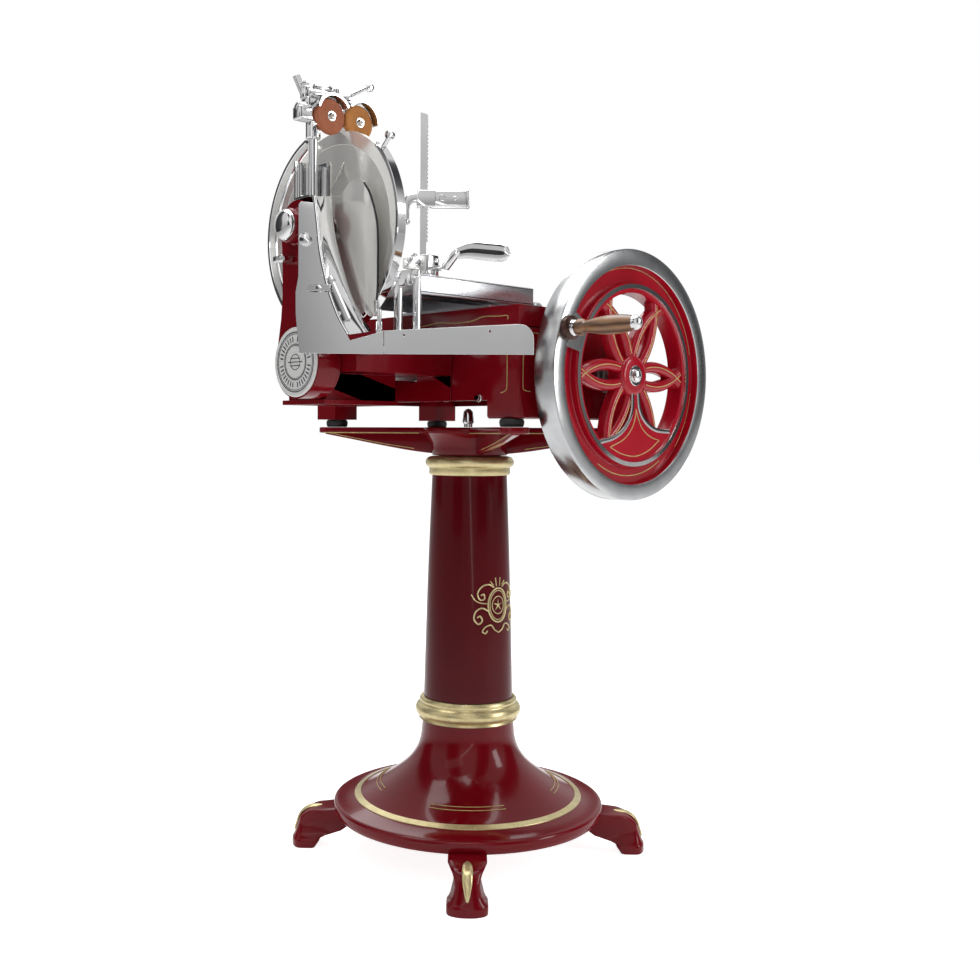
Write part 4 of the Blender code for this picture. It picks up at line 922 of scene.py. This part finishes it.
def guard_ring():
    low, high = -0.347, -0.329
    profile = [(0.173, low + 0.001), (0.174, low), (0.1787, low), (0.1797, low + 0.001), (0.1797, high - 0.001),
        (0.1787, high), (0.174, high), (0.173, high - 0.001)]
    arc_solid = moved(ring(profile, 130, 137, 428), Matrix.Translation(Vector((0, 0, SHAFT_Z))) @ FACE_X)
    end = mm((-338, -120, 1283), (-338, -116.5, 1279), (-338, -124, 1276), (-338, -133, 1275), (-338, -142, 1283),
        (-338, -148, 1289.5))
    hook = tube(end, 0.0035, 10, 6, (1, 0, 0))
    eye = pin((-0.344, -0.149, 1.29), (-0.332, -0.149, 1.29), 0.0065, 0.001, 24)
    make("blade_guard", merged(arc_solid, hook, eye), CHROME, "ring_guard", 30)
    solids = [
        box((-0.327, -0.205, 0.957), (-0.317, -0.192, 1.06), 0.003),
        box((-0.327, -0.16, 0.957), (-0.317, -0.146, 1.06), 0.003),
        box((-0.3265, -0.203, 1.046), (-0.3175, -0.148, 1.074), 0.004),
        box((-0.33, -0.208, 0.9555), (-0.314, -0.143, 0.966), 0.002),
    ]
    for y in (-0.1985, -0.1525):
        solids.append(hex_nut((-0.327, y, 1.06), (-0.3325, y, 1.06), 0.007))
        solids.append(screw((-0.327, y, 1.0), (-1, 0, 0), 0.003))
    make("guard_fork", merged(*solids), CHROME, "guard_bracket", 35)


def guard_return():
    """The polished sheet, with its rolled rim, that curves in from the guard's edge to the deflector."""
    outer = spline_points([CORNER + ALONG * s + Vector((0, 0, z)) for s, z in
                           mm((113.5, 1186), (109, 1145), (104.5, 1100), (92.5, 1045), (76, 998), (59, 966))], 6)
    # Its inner edge leans away from the hinge, which leaves room for the leaf to swing.
    inner = spline_points([(-0.3605 - 0.0875 * (y - HINGE_Y), y, z) for y, z in
                           mm((-30, 1205), (-34, 1160), (-49, 1115), (-82, 1045), (-110, 1002), (-132, 975))], 6)
    loops = []
    steps = 14
    for start, stop in zip(outer, inner):
        across = stop - start
        side = Vector((-across.y, across.x, 0)).normalized()
        near = []
        for k in range(steps + 1):
            t = k / steps
            bulge = 0.016 * math.sin(math.pi * t) ** 1.4
            near.append(start + across * t - side * bulge)
        loops.append(near + [p + side * 0.0012 for p in near[::-1]])
    make("guard_return", loft(loops), MIRROR, angle=60)
    rim = [p + Vector((-0.0008, -0.0012, 0)) for p in outer]
    band = sweep(rim, bar(0.006, 0.0052, 0.0018, 3), OUTWARD)
    make("guard_rim", band, CHROME, angle=40)


def on_guard(s, z, lift):
    """A place on the slanted face of the slice guard, s along it from its bend."""
    return CORNER + ALONG * s + OUTWARD * lift + Vector((0, 0, z))


def guard_fittings():
    places = ((0.083, 1.052), (0.098, 1.064), (0.072, 1.0))
    details = [screw(on_guard(s, z, 0.0012), OUTWARD, 0.0045, 0.0026) for s, z in places]
    strip = [on_guard(0.06, 0.99, 0.002), on_guard(0.09, 1.058, 0.002)]
    details.append(sweep(strip, bar(0.015, 0.0022, 0.0008), OUTWARD))
    details.append(pin(on_guard(0.128, 1.118, 0.0008), on_guard(0.128, 1.118, 0.0095), 0.0105, 0.0045, 32))
    make("guard_fittings", merged(*details), CHROME)


def deflector():
    """The leaf curls a little at both edges and shines like a mirror."""
    leaf = mm((-82.7, 1229.9), (-52, 1216), (-28.5, 1193.9), (-30, 1170), (-38.1, 1150.3), (-54, 1115),
        (-70.1, 1080.3), (-88, 1045), (-104.1, 1011.5), (-118, 1000), (-133, 1012), (-137.5, 1041.2),
        (-138.5, 1080), (-138.5, 1121.4), (-135, 1155), (-120, 1194), (-103, 1220))
    outline = [p.xy for p in spline_points([(y, z, 0) for y, z in leaf], 4, True)]
    shares = [max(k / 10, 0.02) for k in range(11)]
    centre = Vector((-0.1, 1.12))
    rows = []
    # From the middle out to the edge on the near side, and back to the middle on the far side.
    for x, share in [(-0.3538, share) for share in shares] + [(-0.3552, share) for share in shares[::-1]]:
        loop = []
        for p in outline:
            q = centre + (p - centre) * share
            curl = 0.0035 * ((q - centre).length / 0.11) ** 2
            loop.append((x + (curl if q.x < -0.11 else curl * 0.3), q.x, q.y))
        rows.append(loop)
    make("mirror_leaf", loft(rows), LEAF, "slice_deflector", 60, body="deflector")
    hinge = merged(
        pin((-0.354, HINGE_Y, 0.9557), (-0.354, HINGE_Y, 1.01), 0.0036),
        pin((-0.354, HINGE_Y, 0.97), (-0.354, HINGE_Y, 0.99), 0.0056, 0.001),
        box((-0.3556, HINGE_Y, 0.999), (-0.3526, -0.13, 1.025), 0.001),
    )
    make("deflector_hinge", hinge, CHROME, "deflector_pin", body="deflector")
    rim = [(-0.3537, y, z) for y, z in mm((-103.5, 1219), (-120, 1196), (-135, 1155), (-138.5, 1121.4),
        (-138.5, 1080), (-137.5, 1041.2), (-133, 1012))]
    make("leaf_edge", tube(rim, 0.0018, 10, 6, (1, 0, 0)), DARK_STEEL, body="deflector")


blade_arm()
cutting_blade()
guard_ring()
guard_return()
guard_fittings()
deflector()


# Table and press


def table_details():
    across = [-0.27 + 0.02 * k for k in range(12)]
    ridges = [box((x - 0.0016, -0.172, 1.0686), (x + 0.0016, 0.052, 1.0701), 0.0006) for x in across]
    make("table_ridges", merged(*ridges), ALUMINIUM, body="table")
    seam = [box((-0.299, -0.1806, 1.0395), (-0.022, -0.1796, 1.0412), 0.0004),
        box((-0.2975, -0.1806, 1.066), (-0.023, -0.1796, 1.0668), 0.0003)]
    make("table_seams", merged(*seam), DARK_STEEL, body="table")
    fittings = [
        hex_nut((-0.264, -0.14, 1.094), (-0.27, -0.14, 1.094), 0.01, 1.0, 0.3),
        screw((-0.264, -0.108, 1.094), (-1, 0, 0), 0.0045),
        screw((-0.24, -0.158, 1.098), (0, -1, 0), 0.004),
        hex_nut((-0.25, -0.112, 1.108), (-0.25, -0.112, 1.113), 0.01, 1.0, 0.3),
        pin((-0.264, -0.125, 1.078), (-0.29, -0.125, 1.078), 0.005, 0.0015, 24),
    ]
    make("clamp_fittings", merged(*fittings), CHROME, body="table")


def paddle_lever():
    start = Vector((-0.246, -0.1583, 1.084))
    knuckle = [start, start + Vector((0, -0.024, 0)), start + Vector((0.003, -0.034, 0.007))]
    boss = [start + Vector(p) for p in mm((-1, -26, -2), (8, -48, 26))]
    solids = [tube(knuckle, 0.005, 14), pin(*boss, 0.0072, 0.002, 24)]
    path = mm((6, -44, 21), (20, -66, 25), (34, -96, 21), (48, -128, 16))
    spine = spline_points([start + Vector(p) for p in path], 6)
    size = []
    for i in range(len(spine)):
        t = i / (len(spine) - 1)
        tip = math.sqrt(max(0.02, 1 - max(0.0, (t - 0.82) / 0.18) ** 2))
        size.append(((0.55 + 0.45 * min(1, t * 2.5)) * tip, (0.6 + 0.4 * min(1, t * 2.5)) * tip))
    solids.append(sweep(spine, [(0.0042 * x, 0.0145 * y) for x, y in circle(1.0, 24)], scale=size))
    make("paddle_lever", merged(*solids), CHROME, "clamp_lever", 50, body="lever")


def press_details():
    turn = Matrix.Rotation(math.radians(-42), 4, "Z")
    post = Vector((-0.25, -0.136, 1.2015))
    toe = spline_points(mm((-6, 0, 2), (-20, 0, 1.5), (-29, 0, -5), (-32, 0, -16), (-32.5, 0, -33)), 6)
    disc = lathe(mm((0, 4), (7.5, 4), (9.2, 2), (9.2, -2), (7.5, -4), (0, -4)), 36)
    solids = [
        box((0.0085, -0.0085, -0.0145), (0.076, 0.0085, 0.0145), 0.0045),
        box((-0.013, -0.0085, -0.0125), (-0.005, 0.0085, 0.0145), 0.003),
        box((-0.012, -0.0088, -0.0135), (0.02, -0.0044, 0.014), 0.0015),
        box((-0.012, 0.0044, -0.0135), (0.02, 0.0088, 0.014), 0.0015),
        box((0.07, -0.009, -0.015), (0.0765, 0.009, 0.015), 0.0035),
        sweep(toe, bar(0.015, 0.011, 0.004, 3), (0, 1, 0)),
        hex_nut((0.03, -0.0085, 0), (0.03, -0.014, 0), 0.01), screw((0.052, -0.0085, 0), (0, -1, 0), 0.004),
        at(disc, (-0.0325, 0, -0.036), Matrix.Rotation(0.3, 4, "Y")),
    ]
    make("press_handle", at(merged(*solids), post, turn), CHROME, "press_arm", body="press")


table_details()
paddle_lever()
press_details()


# Sharpener


def stones():
    r = 0.0295
    wheel = [(0.0045, 0.01), (r - 0.003, 0.01), (r - 0.001, 0.0088), (r, 0.0065), (r, 0.0015), (r - 0.0012, 0.0),
        (0.0045, 0.0)]
    disc = mm((0, 11.8), (7.8, 11.8), (8.8, 11), (8.8, 10), (0, 10))
    spindle = mm((0, 10), (4.2, 10), (4.2, -4), (0, -4))
    nut = merged(lathe(disc, 40), hex_nut((0, 0, 0.0118), (0, 0, 0.017), 0.0098, 0.0, 0.4), lathe(spindle, 24))
    for side, place, look in (("left", STONE_LEFT, STONE_A), ("right", STONE_RIGHT, STONE_B)):
        place = place + Vector((0, 0.01, 0))
        make(f"grit_wheel_{side}", at(ring(wheel, 72), place, TO_FRONT), look, f"stone_{side}", 30, f"{side}_stone")
        make(f"stone_nut_{side}", at(nut, place, TO_FRONT), NICKEL, f"spindle_{side}", 30, f"{side}_stone")


def sharpener_head():
    solids = [
        box((-0.425, -0.0245, 1.3255), (-0.283, -0.0015, 1.3485), 0.004),
        box((-0.41, -0.026, 1.346), (-0.331, -0.004, 1.366), 0.0055),
        at(lathe(mm((0, 64), (11.5, 64), (13, 62), (13, 2), (11.5, 0), (0, 0)), 40), (-0.389, -0.012, 1.299)),
    ]
    hoods = []
    skin = mm((32.5, 0), (35, 0), (35.2, 1), (35.2, 29), (35, 30), (32.5, 30))
    lip = mm((31.8, 29.6), (35.6, 29.6), (35.6, 30.6), (31.8, 30.6))
    for place, start, end in ((STONE_LEFT, 30, 165), (STONE_RIGHT, 0, 140)):
        place = place + Vector((0, 0.02, 0))
        hoods.append(at(ring(skin, 48, start, end), place, TO_FRONT))
        solids.append(at(ring(lip, 48, start + 2, end - 2), place, TO_FRONT))
    make("sharpener_head", merged(*solids), CHROME, "sharpener_body", 35, body="sharpener")
    make("stone_hoods", merged(*hoods), CHROME, body="sharpener", angle=35)


def sharpener_details():
    stub = lathe(mm((0, 13.5), (7, 12.5), (11.5, 9.2), (13.5, 3), (13.5, -10), (0, -10)), 44)
    knob = lathe(mm((0, 7), (5, 6), (7, 3), (7, -3), (5, -6), (0, -7)), 28)
    solids = [
        at(stub, (-0.412, -0.012, 1.344), TO_LEFT), at(knob, (-0.285, -0.035, 1.4), TO_FRONT),
        box((-0.35, -0.03, 1.345), (-0.33, -0.022, 1.374), 0.003),
        sweep([Vector(p) for p in mm((-402, -10, 1362), (-418, -4, 1400))], bar(0.013, 0.006, 0.002), (0, -1, 0)),
        hex_nut((-0.404, -0.01, 1.382), (-0.404, -0.01, 1.39), 0.013, 1.0, 0.4),
        hex_nut((-0.378, -0.01, 1.378), (-0.378, -0.01, 1.386), 0.0125, 1.0, 0.4),
        screw((-0.404, -0.0345, 1.318), (0, -1, 0), 0.0042),
        screw((-0.394, -0.0345, 1.306), (0, -1, 0), 0.0042),
    ]
    solids += [pin(start, end, radius, 0.002, steps) for start, end, radius, steps in (
        ((-0.404, -0.01, 1.362), (-0.404, -0.01, 1.382), 0.0085, 28),
        ((-0.378, -0.01, 1.362), (-0.378, -0.01, 1.378), 0.008, 28),
        ((-0.352, -0.014, 1.37), (-0.322, -0.026, 1.376), 0.0085, 28),
        ((-0.408, -0.022, 1.37), (-0.342, -0.022, 1.374), 0.0075, 28),
        ((-0.39, -0.016, 1.384), (-0.356, -0.018, 1.386), 0.006, 24),
        ((-0.348, -0.02, 1.356), (-0.348, -0.02, 1.388), 0.007, 24),
    )]
    make("sharpener_linkage", merged(*solids), CHROME, body="sharpener", angle=35)
    screws = [screw((-0.41, -0.01, 1.2022), (0, 0, 1), 0.0042), screw((-0.38, -0.026, 1.2022), (0, 0, 1), 0.0042)]
    screws += [box((-0.37, -0.0338, 1.205), (-0.3655, -0.03, 1.258), 0.0008)]
    make("bracket_screws", merged(*screws), NICKEL)
    rod = pin((-0.361, -0.02, 1.212), (-0.324, -0.03, 1.285), 0.0024, 0.0005, 14)
    make("bracket_rod", rod, NICKEL)


stones()
sharpener_head()
sharpener_details()


# The CAD nodes that are shown as they are, each with the width of its softened edges

INNER_WORKS = ("flywheel_shaft", "drive_bevel_gear", "cross_shaft", "cross_bevel_gear", "cross_sprocket",
    "blade_sprocket", "crank_plate", "crank_pin", "drive_chain", "shaft_bush")
for look, shown in (
    (RED, {"base_casting": 0.003, "gear_housing": 0.003, "carriage_track": 0.0022, "arm_case": 0.0035,
           "arm_cover": 0.0012}),
    (CHROME, {"wing_nut": 0.0008, "slide_rod_1": 0.001, "slide_rod_2": 0.001, "rack_post": 0.0005,
              "post_clamp": 0.002, "sharpener_bracket": 0.0008, "sharpener_post": 0.001, "sharpener_lever": 0.001}),
    (MIRROR, {"slice_guard": 0.0004, "slice_tray": 0.0004}),
    (ALUMINIUM, {"carriage_plate": 0.0012, "meat_table": 0.0022}),
    (STEEL, {"blade_shaft": 0.0006, "tray_bracket": 0.001, "feed_screw": 0.0008,
        **dict.fromkeys(INNER_WORKS, 0.0003)}),
):
    for name, bevel in shown.items():
        finish_node(name, look, bevel)
